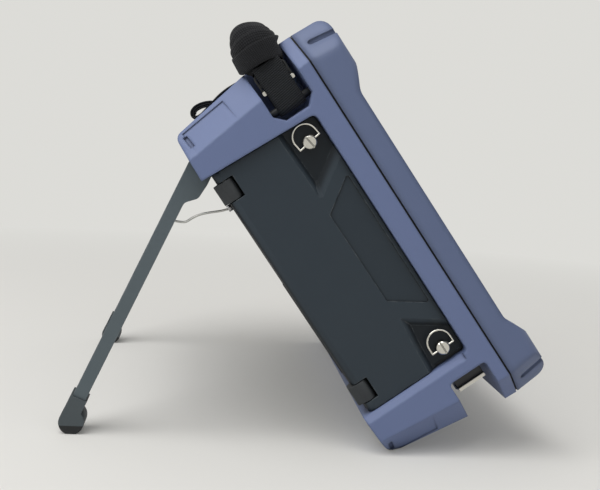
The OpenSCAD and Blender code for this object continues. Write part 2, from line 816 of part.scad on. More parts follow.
module battery_door() {
    color("#373d43")
        difference() {
            along_z(door_z0, door_z1 + under(rear_d)) {
                polygon([[-door_x, door_y0], [-sill_x, door_y0], [-sill_x, axis_y], [-door_x, axis_y]]);
                translate([axis_x, axis_y])
                    circle(barrel_r);
            }
            screw_recess(upper_pocket, upper_hub);
            screw_recess(lower_pocket, lower_hub);
            along_x(-big, 0)
                opening_corners(opening_r - door_y0 + rail_d);
            along_x(-door_x - 1, -door_x + panel_depth)
                polygon(rounded(door_panel));
            box([-big, door_y0 - 1, door_z0 - 1], [0, door_y0 + rib_reach, door_z0 + 1.6]);
            above_door();
            for (z = knuckles) {
                box([-big, axis_y - knuckle_r - door_gap, z - door_gap], [0, big, z + knuckle_l + door_gap]);
                translate([axis_x, axis_y, z - pin_reach - 2])
                    cylinder(r = hinge_pin_r + run, h = knuckle_l + 2 * pin_reach + 4);
            }
            for (z = screw_z)
                rod_x(-big, 0, screw_y, z, screw_r + run);
        }
}

module door_hinge_pins() {
    color("#a8aaad")
        for (z = knuckles)
            translate([axis_x, axis_y, max(z - pin_reach, door_z0 + fit)])
                cylinder(r = hinge_pin_r,
                    h = min(z + knuckle_l + pin_reach, door_z1 + under(axis_y) - 2 * fit)
                        - max(z - pin_reach, door_z0 + fit));
}

// Captive screw along x, with a driver slot and a cross hole for its ring
slot_w = 1;
slot_d = 0.9;
module captive_screw(i) {
    color("#b9bbb8")
        translate([0, screw_y, screw_z[i]])
            rotate([-ring_turn[i], 0, 0])
                difference() {
                    union() {
                        rod_x(head_edge - head_top, -head_base, 0, 0, screw_head_r);
                        translate([-head_top, 0, 0])
                            rotate([0, 90, 0])
                                cylinder(r1 = screw_head_r - head_edge, r2 = screw_head_r, h = head_edge);
                        rod_x(-head_base - eps, -screw_tip, 0, 0, screw_r);
                    }
                    box([-head_top - 1, -slot_w / 2, -big], [-head_top + slot_d, slot_w / 2, big]);
                    for (side = [-1, 1])
                        translate([-ring_x, side * (ring_pin_in - fit), 0])
                            rotate([-90 * side, 0, 0])
                                cylinder(r = ring_wire + run, h = big);
                }
}

// D-shaped wire ring that lies flat on the door and lifts about its two pivot wires
module d_ring(i) {
    straight = ring_reach - ring_half;
    color("#c4c6c4")
        translate([-ring_x, screw_y, screw_z[i]])
            rotate([-ring_turn[i], 0, 0]) {
                translate([0, 0, straight])
                    rotate([90, 0, 90])
                        rotate_extrude(angle = 180)
                            translate([ring_half, 0])
                                circle(ring_wire, $fn = 16);
                for (side = [-1, 1])
                    translate([0, side * ring_half, 0]) {
                        cylinder(r = ring_wire, h = straight, $fn = 16);
                        sphere(ring_wire, $fn = 16);
                        rotate([90 * side, 0, 0])
                            cylinder(r = ring_wire, h = ring_half - ring_pin_in, $fn = 16);
                    }
            }
}

module screw_receptacles() {
    color("#a59a72")
        for (z = screw_z)
            difference() {
                rod_x(-core_x, -core_x + receptacle_l, screw_y, z, receptacle_outer);
                rod_x(-big, big, screw_y, z, receptacle_r);
            }
}

module battery(i) {
    y0 = bay_y[0] + fit + i * (battery_t + fit);
    color("#1d2023")
        difference() {
            box([battery_x[0], y0, bay_z[0]], [battery_x[1], y0 + battery_t, bay_z[0] + battery_h]);
            box([battery_x[0] - 1, y0 + battery_t / 4, mid_z - battery_grip.x / 2],
                [battery_x[0] + battery_grip.y, y0 + battery_t * 3 / 4, mid_z + battery_grip.x / 2]);
        }
}

module battery_contacts() {
    color("#c8a850")
        box([bay_back - contacts.x, fan_y - contacts.y / 2, bay_z[0]],
            [bay_back, fan_y + contacts.y / 2, bay_z[0] + contacts.z]);
}

// Leg of angle section with a rounded ear at the pivot; side is -1 for left and 1 for right
module stand_leg(side) {
    color("#4a5459")
        on_stand()
            mirror([side < 0 ? 1 : 0, 0, 0])
                difference() {
                    union() {
                        along_x(leg_x - leg_t, leg_x)
                            polygon(rounded([[leg_out, -leg_len - 2, 1], [leg_back, -leg_len - 2, 1],
                                [leg_back, 4, 5], [2, 6, 3], [-ear_r, 4, 4], [-ear_r, -5, 3],
                                [-4, -13, 4], [leg_out, -18, 4]]));
                        along_x(leg_x - leg_web, leg_x)
                            polygon([[leg_back - leg_t, -leg_len - 2], [leg_back, -leg_len - 2],
                                [leg_back, -flange_top], [leg_back - leg_t, -flange_top]]);
                        rod_x(leg_x - ear_w, leg_x, 0, 0, ear_r - 1);
                    }
                    rod_x(0, big, 0, 0, pivot_r + run);
                }
}

module stand_plate() {
    color("#4a5459")
        on_stand()
            difference() {
                along_y(leg_back - 2 * leg_t, leg_back - leg_t)
                    translate([0, -plate_s - plate_h / 2])
                        polygon(rect(2 * (leg_x - leg_t - fit), plate_h, 3));
                along_y(0, big)
                    translate([0, -plate_s - plate_h / 2])
                        polygon(rect(2 * (leg_x - leg_web - plate_band.x), plate_h - 2 * plate_band.y,
                            plate_round));
            }
}

module stand_rivets() {
    color("#9a9ca0")
        on_stand()
            for (side = [-1, 1], s = [rivet_inset, plate_h - rivet_inset])
                rod_y(leg_back - 2 * leg_t - rivet_head, leg_back - 2 * leg_t,
                    side * (leg_x - leg_web / 2), -plate_s - s, rivet_r);
}

// Rubber cap over the end of a leg, flat where it meets the floor
module stand_foot(side) {
    color("#202326")
        difference() {
            on_stand()
                difference() {
                    union() {
                        rod_x(side * (leg_x - leg_web / 2) - foot_w / 2, side * (leg_x - leg_web / 2) + foot_w / 2,
                            foot_t, -leg_len, foot_r);
                        box([side * (leg_x - leg_web / 2) - foot_w / 2, leg_out - 1, -leg_len],
                            [side * (leg_x - leg_web / 2) + foot_w / 2, leg_back + 1, -leg_len + foot_s]);
                    }
                    mirror([side < 0 ? 1 : 0, 0, 0]) {
                        box([leg_x - leg_t, leg_out, -leg_len - 2], [leg_x, leg_back, 0]);
                        box([leg_x - leg_web, leg_back - leg_t, -leg_len - 2], [leg_x, leg_back, 0]);
                    }
                }
            floor_space();
        }
}

module stand_pins() {
    color("#a8aaad")
        for (side = [0, 1])
            mirror([side, 0, 0])
                rod_x(notch_x[0] - pin_grip, notch_x[1] + pin_grip, pivot_y, pivot_z, pivot_r);
}

// Stay cable from the rear cover to the left leg: a tube swept along its route
function across(a, b, k) = a + (b - a) * k;
lanyard_path = concat([lanyard_start],
    [for (b = lanyard_bends) across(lanyard_start, lanyard_end, b.x) + [0, 0, b.y]],
    [lanyard_end - unit(lanyard_end - lanyard_start) * fit]);

function ring_points(p, d, r, sides) =
    let (u = unit(cross(d, [1, 0, 0])), v = cross(d, u))
    [for (k = [0:sides - 1]) p + r * (cos(360 * k / sides) * u + sin(360 * k / sides) * v)];

// Skin over a list of rings that have the same number of points, closed at both ends
module skin(rings) {
    n = len(rings);
    m = len(rings[0]);
    faces = concat(
        [for (i = [0:n - 2], k = [0:m - 1]) [i * m + k, i * m + (k + 1) % m, (i + 1) * m + (k + 1) % m]],
        [for (i = [0:n - 2], k = [0:m - 1]) [i * m + k, (i + 1) * m + (k + 1) % m, (i + 1) * m + k]],
        [for (k = [1:m - 2]) [0, k + 1, k]],
        [for (k = [1:m - 2]) [(n - 1) * m, (n - 1) * m + k, (n - 1) * m + k + 1]]);
    polyhedron([for (r = rings) each r], faces);
}

module lanyard() {
    n = len(lanyard_path);
    color("#b4b7b5")
        skin([for (i = [0:n - 1])
            let (a = lanyard_path[max(i - 1, 0)], b = lanyard_path[min(i + 1, n - 1)])
            ring_points(lanyard_path[i], i == 0 ? [0, 1, 0] : unit(b - a), lanyard_r, 8)]);
}

module lanyard_anchor() {
    color("#9a9ca0")
        rod_y(cover_y, cover_y + anchor_l, lanyard_x, lanyard_case_z, anchor_r);
}

// Crimped end of the stay, held against the inside of the left leg
module lanyard_ferrule() {
    color("#9a9ca0")
        on_stand()
            box([-(leg_x - leg_t), leg_out, -lanyard_leg_s - ferrule_l / 2],
                [-(leg_x - leg_t) + 2 * ferrule_r + 1.6, leg_out + 2 * ferrule_r, -lanyard_leg_s + ferrule_l / 2]);
}

module strap_bar() {
    color("#8f9296")
        rod_y(pocket_y0 - bar_seat, pocket_y1 + bar_seat, bar_x, bar_z, strap_bar_r);
}

// Flat slider with two slots for the webbing
module strap_slider() {
    color("#1e2022")
        difference() {
            translate([bar_x - slider.z / 2, pocket_mid, slider_z])
                along_x(0, slider.z)
                    polygon(rect(slider.x, slider.y, 2));
            for (side = [-1, 1])
                translate([bar_x - slider.z, pocket_mid, slider_z + side * (slider_slot + slider_web) / 2])
                    along_x(0, 2 * slider.z)
                        square([webbing_w + 0.8, slider_slot], center = true);
        }
}

// Bright clip across the front of the slider's lower end; its ends show beside the webbing
clip = [1.7, 2.3, 0.9];                                  // overhang, height and thickness
module strap_clip() {
    color("#c9cac8")
        translate([bar_x + slider.z / 2, pocket_mid, slider_z - slider.y / 2 + clip.y / 2])
            along_x(0, clip.z)
                polygon(rect(webbing_w + 2 * clip.x, clip.y, 0.8));
}

// Webbing that goes round a strap bar and up to the slider; drawn in x and z for the right-hand pocket
module webbing_loop() {
    lift = slider_z - slider.y / 2 - fit - bar_z;
    difference() {
        loop_outline(loop_out, lift);
        loop_outline(loop_in, lift - webbing_t - 1.5);
    }
}

module loop_outline(r, lift) {
    translate([bar_x, bar_z]) {
        circle(r);
        polygon([[-r, 0], [r, 0], [r * 0.5, lift], [-r * 0.5, lift]]);
    }
}

// Webbing above the slider, up to the mouth of the pocket
module webbing_lead(top) {
    z0 = slider_z + slider.y / 2 + fit;
    translate([bar_x - webbing_t, z0])
        square([2 * webbing_t, top - z0]);
}

module strap_loop() {
    color("#232528")
        mirror([1, 0, 0])
            along_y(pocket_mid - webbing_w / 2, pocket_mid + webbing_w / 2) {
                webbing_loop();
                webbing_lead(strap_top);
            }
}

// One unbroken spiral of upright webbing: each turn lies further in and higher
roll_profile = [[0, roll_neck], [roll_flare[0], roll_neck], [roll_flare[1], roll_r], [roll_flare[2], roll_r]];
function roll_point(a, h, inner) =
    let (r = lookup(h, roll_profile) - inner - roll_step * a / 360)
    [r * cos(a), r * sin(a), h + roll_rise * a / 360];
function roll_ring(a) = concat(
    [for (k = [0:3]) roll_point(a, roll_profile[k][0], 0)],
    [for (k = [3:-1:0]) roll_point(a, roll_profile[k][0], webbing_t)]);
roll_angles = [for (i = [0:roll_turns * roll_sides]) i * 360 / roll_sides];
// least gap between facing surfaces of neighbouring turns, measured on points of both
roll_heights = [0:0.5:webbing_w];
roll_gap = min([for (h = roll_heights, g = roll_heights)
    norm(roll_point(0, h, webbing_t) - roll_point(360, g, 0))]);

module strap_roll() {
    echo(strap_roll_gap = roll_gap);
    color("#232528")
        translate([roll_x, pocket_mid, roll_base])
            rotate([roll_tilt, 0, 0])
                skin([for (a = roll_angles) roll_ring(a)]);
}

// Short end of the strap in the right pocket, laid back over the upper block and looped round its slider
module strap_tab() {
    color("#232528") {
        along_y(pocket_mid - webbing_w / 2, pocket_mid + webbing_w / 2) {
            webbing_loop();
            webbing_lead(tab_z - 2 * webbing_t);
        }
        along_x(tab_x - webbing_w / 2, tab_x + webbing_w / 2)
            difference() {
                polygon(rounded(concat([[tab_y, tab_z - 2 * webbing_t, 0], [pocket_y1, tab_z - 2 * webbing_t, 0]],
                    around_eye(tab_rim), [[pocket_y1, tab_z, 0], [tab_y, tab_z, 0]])));
                polygon(rounded(around_eye(tab_hole)));
            }
    }
}

// Corners given from the middle of the tab's loop
function around_eye(corners) = [for (c = corners) [tab_eye.x + c.x, tab_eye.y + c.y, c.z]];

module front_panel() {
    color("#24272b")
        translate([0, 0, mid_z])
            difference() {
                along_y(panel_front, panel_back)
                    polygon(rect(panel_w, panel_h, panel_round));
                translate([glass_mid, 0, 0]) {
                    along_y(panel_front - 1, glass_back)
                        polygon(rect(glass_w + fit, glass_h + fit, 4));
                    along_y(panel_front - 1, panel_back + 1)
                        polygon(rect(glass_w - 2 * glass_edge, glass_h - 2 * glass_edge, 2));
                }
                for (i = [0:key_count - 1])
                    translate([keys_x, 0, key_z(i) - mid_z])
                        along_y(-big, panel_back + 1)
                            polygon(rect(key_w + 2 * fit, key_h + 2 * fit, key_round + fit));
                rod_y(-big, panel_back + 1, keys_x, power_z - mid_z, power_r + fit);
            }
}

function key_z(i) = key_z0 + 4 + i * key_pitch;

module display_glass() {
    color("#101418")
        translate([glass_mid, 0, mid_z])
            along_y(panel_front, glass_back)
                polygon(rect(glass_w, glass_h, 4));
}

module lcd_module() {
    color("#8a8f94")
        translate([glass_mid, 0, mid_z])
            along_y(panel_back, panel_back + lcd_t)
                polygon(rect(glass_w - glass_edge, glass_h - glass_edge, 2));
}

module keypad_mat() {
    color("#1c1e20")
        box([keys_x - key_w / 2 - mat_edge, panel_back, power_z - power_r - mat_edge],
            [keys_x + key_w / 2 + mat_edge, panel_back + mat_t, key_z(key_count - 1) + key_h / 2 + mat_edge]);
}

module soft_key(i) {
    color("#3a3f45")
        translate([keys_x, 0, key_z(i)])
            along_y(panel_front - key_proud, key_back)
                polygon(rect(key_w, key_h, key_round));
}

module power_button() {
    color("#4a5056")
        rod_y(panel_front - key_proud, key_back, keys_x, power_z, power_r);
}

module main_board() {
    color("#2f5a3c") {
        box([-board.x / 2, board_y[0], board_mid - board.y / 2],
            [board.x / 2, board_y[1], board_mid + board.y / 2]);
        for (x = chips)
            box([x - chip.x / 2, board_y[1] - eps, board_mid - chip.y / 2],
                [x + chip.x / 2, board_y[1] + chip.z, board_mid + chip.y / 2]);
    }
}

module rf_module() {
    color("#b5b8ba")
        difference() {
            box([rf_x, fan_y - rf_size.y / 2, bay_z[0]],
                [rf_x + rf_size.x, fan_y + rf_size.y / 2, bay_z[0] + rf_size.z]);
            for (x = [rf_x + 10:15:rf_x + rf_size.x - 10])
                box([x, fan_y - big, bay_z[0] + rf_size.z - 6], [x + 8, fan_y + big, big]);
        }
}

module fan_frame() {
    x0 = sill_x - 0.4 - fan_t;
    color("#1a1c1e") {
        translate([0, fan_y, fan_z])
            difference() {
                along_x(x0, x0 + fan_t)
                    polygon(rect(fan_size, fan_size, 3));
                rod_x(x0 - 1, x0 + fan_t + 1, 0, 0, fan_bore);
            }
        for (a = [0, 60, 120])
            translate([x0, fan_y, fan_z])
                rotate([a, 0, 0])
                    box([0, -fan_bore - 0.5, -1], [1.2, fan_bore + 0.5, 1]);
        rod_x(x0, x0 + fan_t - 2, fan_y, fan_z, fan_axle);
    }
}

module fan_rotor() {
    x0 = sill_x - 0.4 - fan_t + 1.2 + fit;
    color("#26292c")
        translate([0, fan_y, fan_z])
            difference() {
                union() {
                    rod_x(x0, x0 + fan_t - 3, 0, 0, fan_hub);
                    for (i = [0:fan_blades - 1])
                        rotate([i * 360 / fan_blades, 0, 0])
                            translate([x0 + (fan_t - 3) / 2, 0, fan_hub - 1])
                                rotate([0, 0, 50])
                                    box([-0.6, -4, 0], [0.6, 4, blade_r - fan_hub]);
                }
                rod_x(0, big, 0, 0, fan_axle + run);
            }
}

// Coaxial test port: square flange, round barrel, bore and centre contact
module port(i) {
    color("#c6c4b8")
        translate([ports[i], bay_mid, bay_h]) {
            difference() {
                union() {
                    translate([0, 0, -port_flange])
                        along_z(0, port_flange)
                            polygon(rect(port_plate, port_plate, 2));
                    translate([0, 0, -port_flange - port_l])
                        cylinder(r = port_r, h = port_l);
                    cylinder(r = port_bore, h = port_stub - 0.2);
                }
                translate([0, 0, -port_flange - port_l - 1])
                    cylinder(r = port_bore, h = port_l);
            }
            translate([0, 0, -port_flange - port_l + 2])
                cylinder(r = port_pin_r, h = port_l - 1);
        }
}

// Hemmed bracket that hangs from the bay's ceiling between the side wall and the first port
module bay_guard() {
    inner = guard_x + guard_hem.x;
    low = bay_h - guard_drop;
    color("#8f8d84")
        along_y(bay_mid - guard_w / 2, bay_mid + guard_w / 2)
            polygon([[inner - guard_t, bay_h], [inner - guard_t, low + guard_hem.y], [guard_x, low + guard_hem.y],
                [guard_x, low], [inner, low], [inner, bay_h]]);
}

// Rectangular socket shell under the bay's ceiling
module jack(x, size) {
    translate([x, bay_mid, bay_h - jack_drop])
        difference() {
            along_z(0, jack_drop)
                polygon(rect(size.x, size.y, 1));
            along_z(-1, jack_drop - shell_t)
                polygon(rect(size.x - 2 * shell_t, size.y - 2 * shell_t, 0.5));
        }
}

module lan_jack() {
    color("#b9bbbc")
        jack(lan_x, lan_size);
}

module usb_ports() {
    color("#b9bbbc")
        for (x = usb_x)
            jack(x, usb_size);
}

module dc_jack() {
    color("#1b1d1f")
        translate([dc_x, bay_mid, bay_h - jack_drop - 1]) {
            difference() {
                cylinder(r = dc_r, h = jack_drop + 1);
                translate([0, 0, -1])
                    cylinder(r = dc_bore, h = jack_drop + 1);
            }
            translate([0, 0, 0.6])
                cylinder(r = 1, h = jack_drop);
        }
}

standing() front_shell();
standing() case_gasket();
standing() rear_shell();
standing() base_pads();
standing() case_screws();
standing() core_housing();
standing() rear_cover();
standing() rear_cover_screws();
standing() right_cover();
standing() right_cover_screws();
standing() battery_door();
standing() door_hinge_pins();
standing() captive_screw(1);  // captive_screw_upper
standing() captive_screw(0);  // captive_screw_lower
standing() d_ring(1);  // ring_upper
standing() d_ring(0);  // ring_lower
standing() screw_receptacles();
standing() battery(0);  // battery_front
standing() battery(1);  // battery_rear
standing() battery_contacts();
standing() stand_leg(-1);  // stand_leg_left
standing() stand_leg(1);  // stand_leg_right
standing() stand_plate();
standing() stand_rivets();
standing() stand_foot(-1);  // stand_foot_left
standing() stand_foot(1);  // stand_foot_right
standing() stand_pins();
standing() lanyard();
standing() lanyard_anchor();
standing() lanyard_ferrule();
standing() mirror([1, 0, 0]) strap_bar();  // strap_bar_left
standing() strap_bar();  // strap_bar_right
standing() mirror([1, 0, 0]) strap_slider();  // strap_slider_left
standing() strap_slider();  // strap_slider_right
standing() mirror([1, 0, 0]) strap_clip();  // strap_clip_left
standing() strap_clip();  // strap_clip_right
standing() strap_loop();
standing() strap_roll();
standing() strap_tab();
standing() front_panel();
standing() display_glass();
standing() lcd_module();
standing() keypad_mat();
standing() soft_key(0);  // soft_key_1
standing() soft_key(1);  // soft_key_2
standing() soft_key(2);  // soft_key_3
standing() soft_key(3);  // soft_key_4
standing() soft_key(4);  // soft_key_5
standing() soft_key(5);  // soft_key_6
standing() power_button();
standing() main_board();
standing() rf_module();
standing() fan_frame();
standing() fan_rotor();
standing() port(0);  // port_1
standing() port(1);  // port_2
standing() bay_guard();
standing() usb_ports();
standing() lan_jack();
standing() dc_jack();
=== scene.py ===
"""Dresses the portable network analyzer: finishes, soft pieces, studio and camera."""

import logging
import math
from dataclasses import dataclass
from enum import Enum
from itertools import accumulate
from typing import Callable, Sequence

import bmesh
import bpy
from mathutils import Matrix, Vector


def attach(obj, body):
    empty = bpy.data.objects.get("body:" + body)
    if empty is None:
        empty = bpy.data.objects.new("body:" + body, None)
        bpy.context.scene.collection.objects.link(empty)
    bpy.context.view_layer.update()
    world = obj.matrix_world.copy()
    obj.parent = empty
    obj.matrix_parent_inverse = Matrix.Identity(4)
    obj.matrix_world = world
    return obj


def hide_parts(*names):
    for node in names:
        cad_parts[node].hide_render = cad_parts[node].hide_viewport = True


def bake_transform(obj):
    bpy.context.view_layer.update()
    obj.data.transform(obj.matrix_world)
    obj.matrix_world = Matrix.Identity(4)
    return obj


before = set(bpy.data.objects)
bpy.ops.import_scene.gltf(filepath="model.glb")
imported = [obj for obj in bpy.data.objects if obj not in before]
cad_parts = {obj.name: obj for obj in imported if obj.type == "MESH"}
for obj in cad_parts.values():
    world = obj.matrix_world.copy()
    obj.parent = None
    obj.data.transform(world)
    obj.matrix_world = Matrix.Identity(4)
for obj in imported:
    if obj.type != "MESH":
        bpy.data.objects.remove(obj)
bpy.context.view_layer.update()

LOG = logging.getLogger("analyzer")
MM = 0.001

Pair = tuple[float, float]
Triple = tuple[float, float, float]
Colour = Triple
Socket = bpy.types.NodeSocket

DUST_GREY: Colour = (0.42, 0.41, 0.39)
LINT_GREY: Colour = (0.2, 0.2, 0.2)
METAL_HOLLOW_SHADE: Colour = (0.03, 0.03, 0.028)
GAP_SHADE: Colour = (0.0015, 0.0015, 0.0018)
SOLE_BLACK: Colour = (0.010, 0.011, 0.012)
BACKGROUND: Colour = (0.72, 0.715, 0.685)

NODE_GAP = 180
WELD_GAP = 0.000002
ROUND_STEPS = 2
SHARP_ANGLE = math.radians(32)
EDGE_POWER = 8
GRAIN_SPAN: Pair = (0.25, 0.75)


class Body(str, Enum):
    """Moving bodies that new pieces ride on."""

    CASE = "case"
    STAND = "stand"


class Edge(Enum):
    """Edge rounding of a rigid piece, in millimetres."""

    SHELL = 0.7
    PANEL = 0.4
    SHEET = 0.25
    SMALL = 0.15
    FINE = 0.08


@dataclass(frozen=True)
class CaseFrame:
    """The case's own axes in millimetres, leaned back on its stand."""

    lean: float = 36.6886
    shift_y: float = -110.908
    shift_z: float = 31.871

    def point(self, x: float, y: float, z: float) -> Vector:
        """Turns a place on the case into the shared frame.

        Args:
            x: Across the case, millimetres.
            y: From the parting line towards the rear, millimetres.
            z: Up the case, millimetres.

        Returns:
            The place in metres.
        """
        c, s = math.cos(math.radians(self.lean)), math.sin(math.radians(self.lean))
        return Vector((x, y * c + z * s + self.shift_y, -y * s + z * c + self.shift_z)) * MM

    def direction(self, x: float, y: float, z: float) -> Vector:
        """Turns a direction on the case into the shared frame."""
        return (self.point(x, y, z) - self.point(0, 0, 0)).normalized()


CASE_AXES = CaseFrame()


class NodeSheet:
    """Places and joins the nodes of one shader tree."""

    def __init__(self, tree: bpy.types.NodeTree) -> None:
        """Keeps the tree and a column for the next node."""
        self.tree = tree
        self.column = 0

    def add(self, kind: str, **options: object) -> bpy.types.Node:
        """Adds a node and sets its options.

        Args:
            kind: Blender's name of the node type.
            options: Properties of the node, by name.

        Returns:
            The new node.
        """
        node = self.tree.nodes.new(kind)
        node.location = (NODE_GAP * self.column, 0)
        self.column += 1
        for name, value in options.items():
            setattr(node, name, value)
        return node

    def join(self, source: Socket, target: Socket) -> None:
        """Links an output to an input."""
        self.tree.links.new(source, target)

    def feed(self, slot: Socket, term: Socket | float | Colour) -> None:
        """Sets an input to a number or a colour, or links it to an output.

        Args:
            slot: Input socket.
            term: Number, colour or output socket.
        """
        if isinstance(term, (int, float)):
            slot.default_value = term
        elif isinstance(term, tuple):
            slot.default_value = (*term, 1.0)
        else:
            self.join(term, slot)

    def place(self) -> Socket:
        """Adds the piece's own coordinates, in metres."""
        return self.add("ShaderNodeTexCoord").outputs["Object"]

    def axis(self, vector: Socket, name: str) -> Socket:
        """Takes one axis of a vector.

        Args:
            vector: Vector to split.
            name: Axis, by its capital letter.

        Returns:
            The axis's socket.
        """
        split = self.add("ShaderNodeSeparateXYZ")
        self.join(vector, split.inputs[0])
        return split.outputs[name]

    def in_view(self) -> Socket:
        """Tells the rays that show the background: straight, mirrored or through glass.

        Returns:
            A mask that is 1 for those rays.
        """
        path = self.add("ShaderNodeLightPath")
        seen = self.math("MAXIMUM", path.outputs["Is Camera Ray"], path.outputs["Is Glossy Ray"])
        return self.math("MAXIMUM", seen, path.outputs["Is Transmission Ray"])

    def math(self, operation: str, a: Socket | float, b: Socket | float = 0.0) -> Socket:
        """Adds an arithmetic node.

        Args:
            operation: Name of the operation.
            a: First term, a socket or a number.
            b: Second term, a socket or a number.

        Returns:
            The result's socket.
        """
        node = self.add("ShaderNodeMath", operation=operation)
        for slot, term in zip(node.inputs, (a, b)):
            self.feed(slot, term)
        return node.outputs[0]

    def remap(self, value: Socket, low: float, high: float, to_low: float,
              to_high: float) -> Socket:
        """Maps a value from one range to another, clamped.

        Args:
            value: Value to map.
            low: Start of its range.
            high: End of its range.
            to_low: Start of the new range.
            to_high: End of the new range.

        Returns:
            The mapped value's socket.
        """
        node = self.add("ShaderNodeMapRange")
        self.join(value, node.inputs["Value"])
        for slot, number in zip(("From Min", "From Max", "To Min", "To Max"),
                                (low, high, to_low, to_high)):
            node.inputs[slot].default_value = number
        return node.outputs[0]

    def blend(self, mask: Socket, first: Socket | Colour, second: Socket | Colour) -> Socket:
        """Mixes two colours by a mask.

        Args:
            mask: Share of the second colour.
            first: Colour where the mask is 0.
            second: Colour where the mask is 1.

        Returns:
            The mixed colour's socket.
        """
        node = self.add("ShaderNodeMix", data_type="RGBA")
        self.join(mask, node.inputs["Factor"])
        self.feed(node.inputs[6], first)
        self.feed(node.inputs[7], second)
        return node.outputs[2]

    def noise(self, vector: Socket, scale: Socket | float, detail: float = 3.0) -> Socket:
        """Adds a noise texture and returns its value.

        Args:
            vector: Coordinates.
            scale: Waves per metre.
            detail: Finer layers on top.

        Returns:
            The noise value's socket.
        """
        node = self.add("ShaderNodeTexNoise")
        node.inputs["Detail"].default_value = detail
        self.join(vector, node.inputs["Vector"])
        self.feed(node.inputs["Scale"], scale)
        return node.outputs[0]


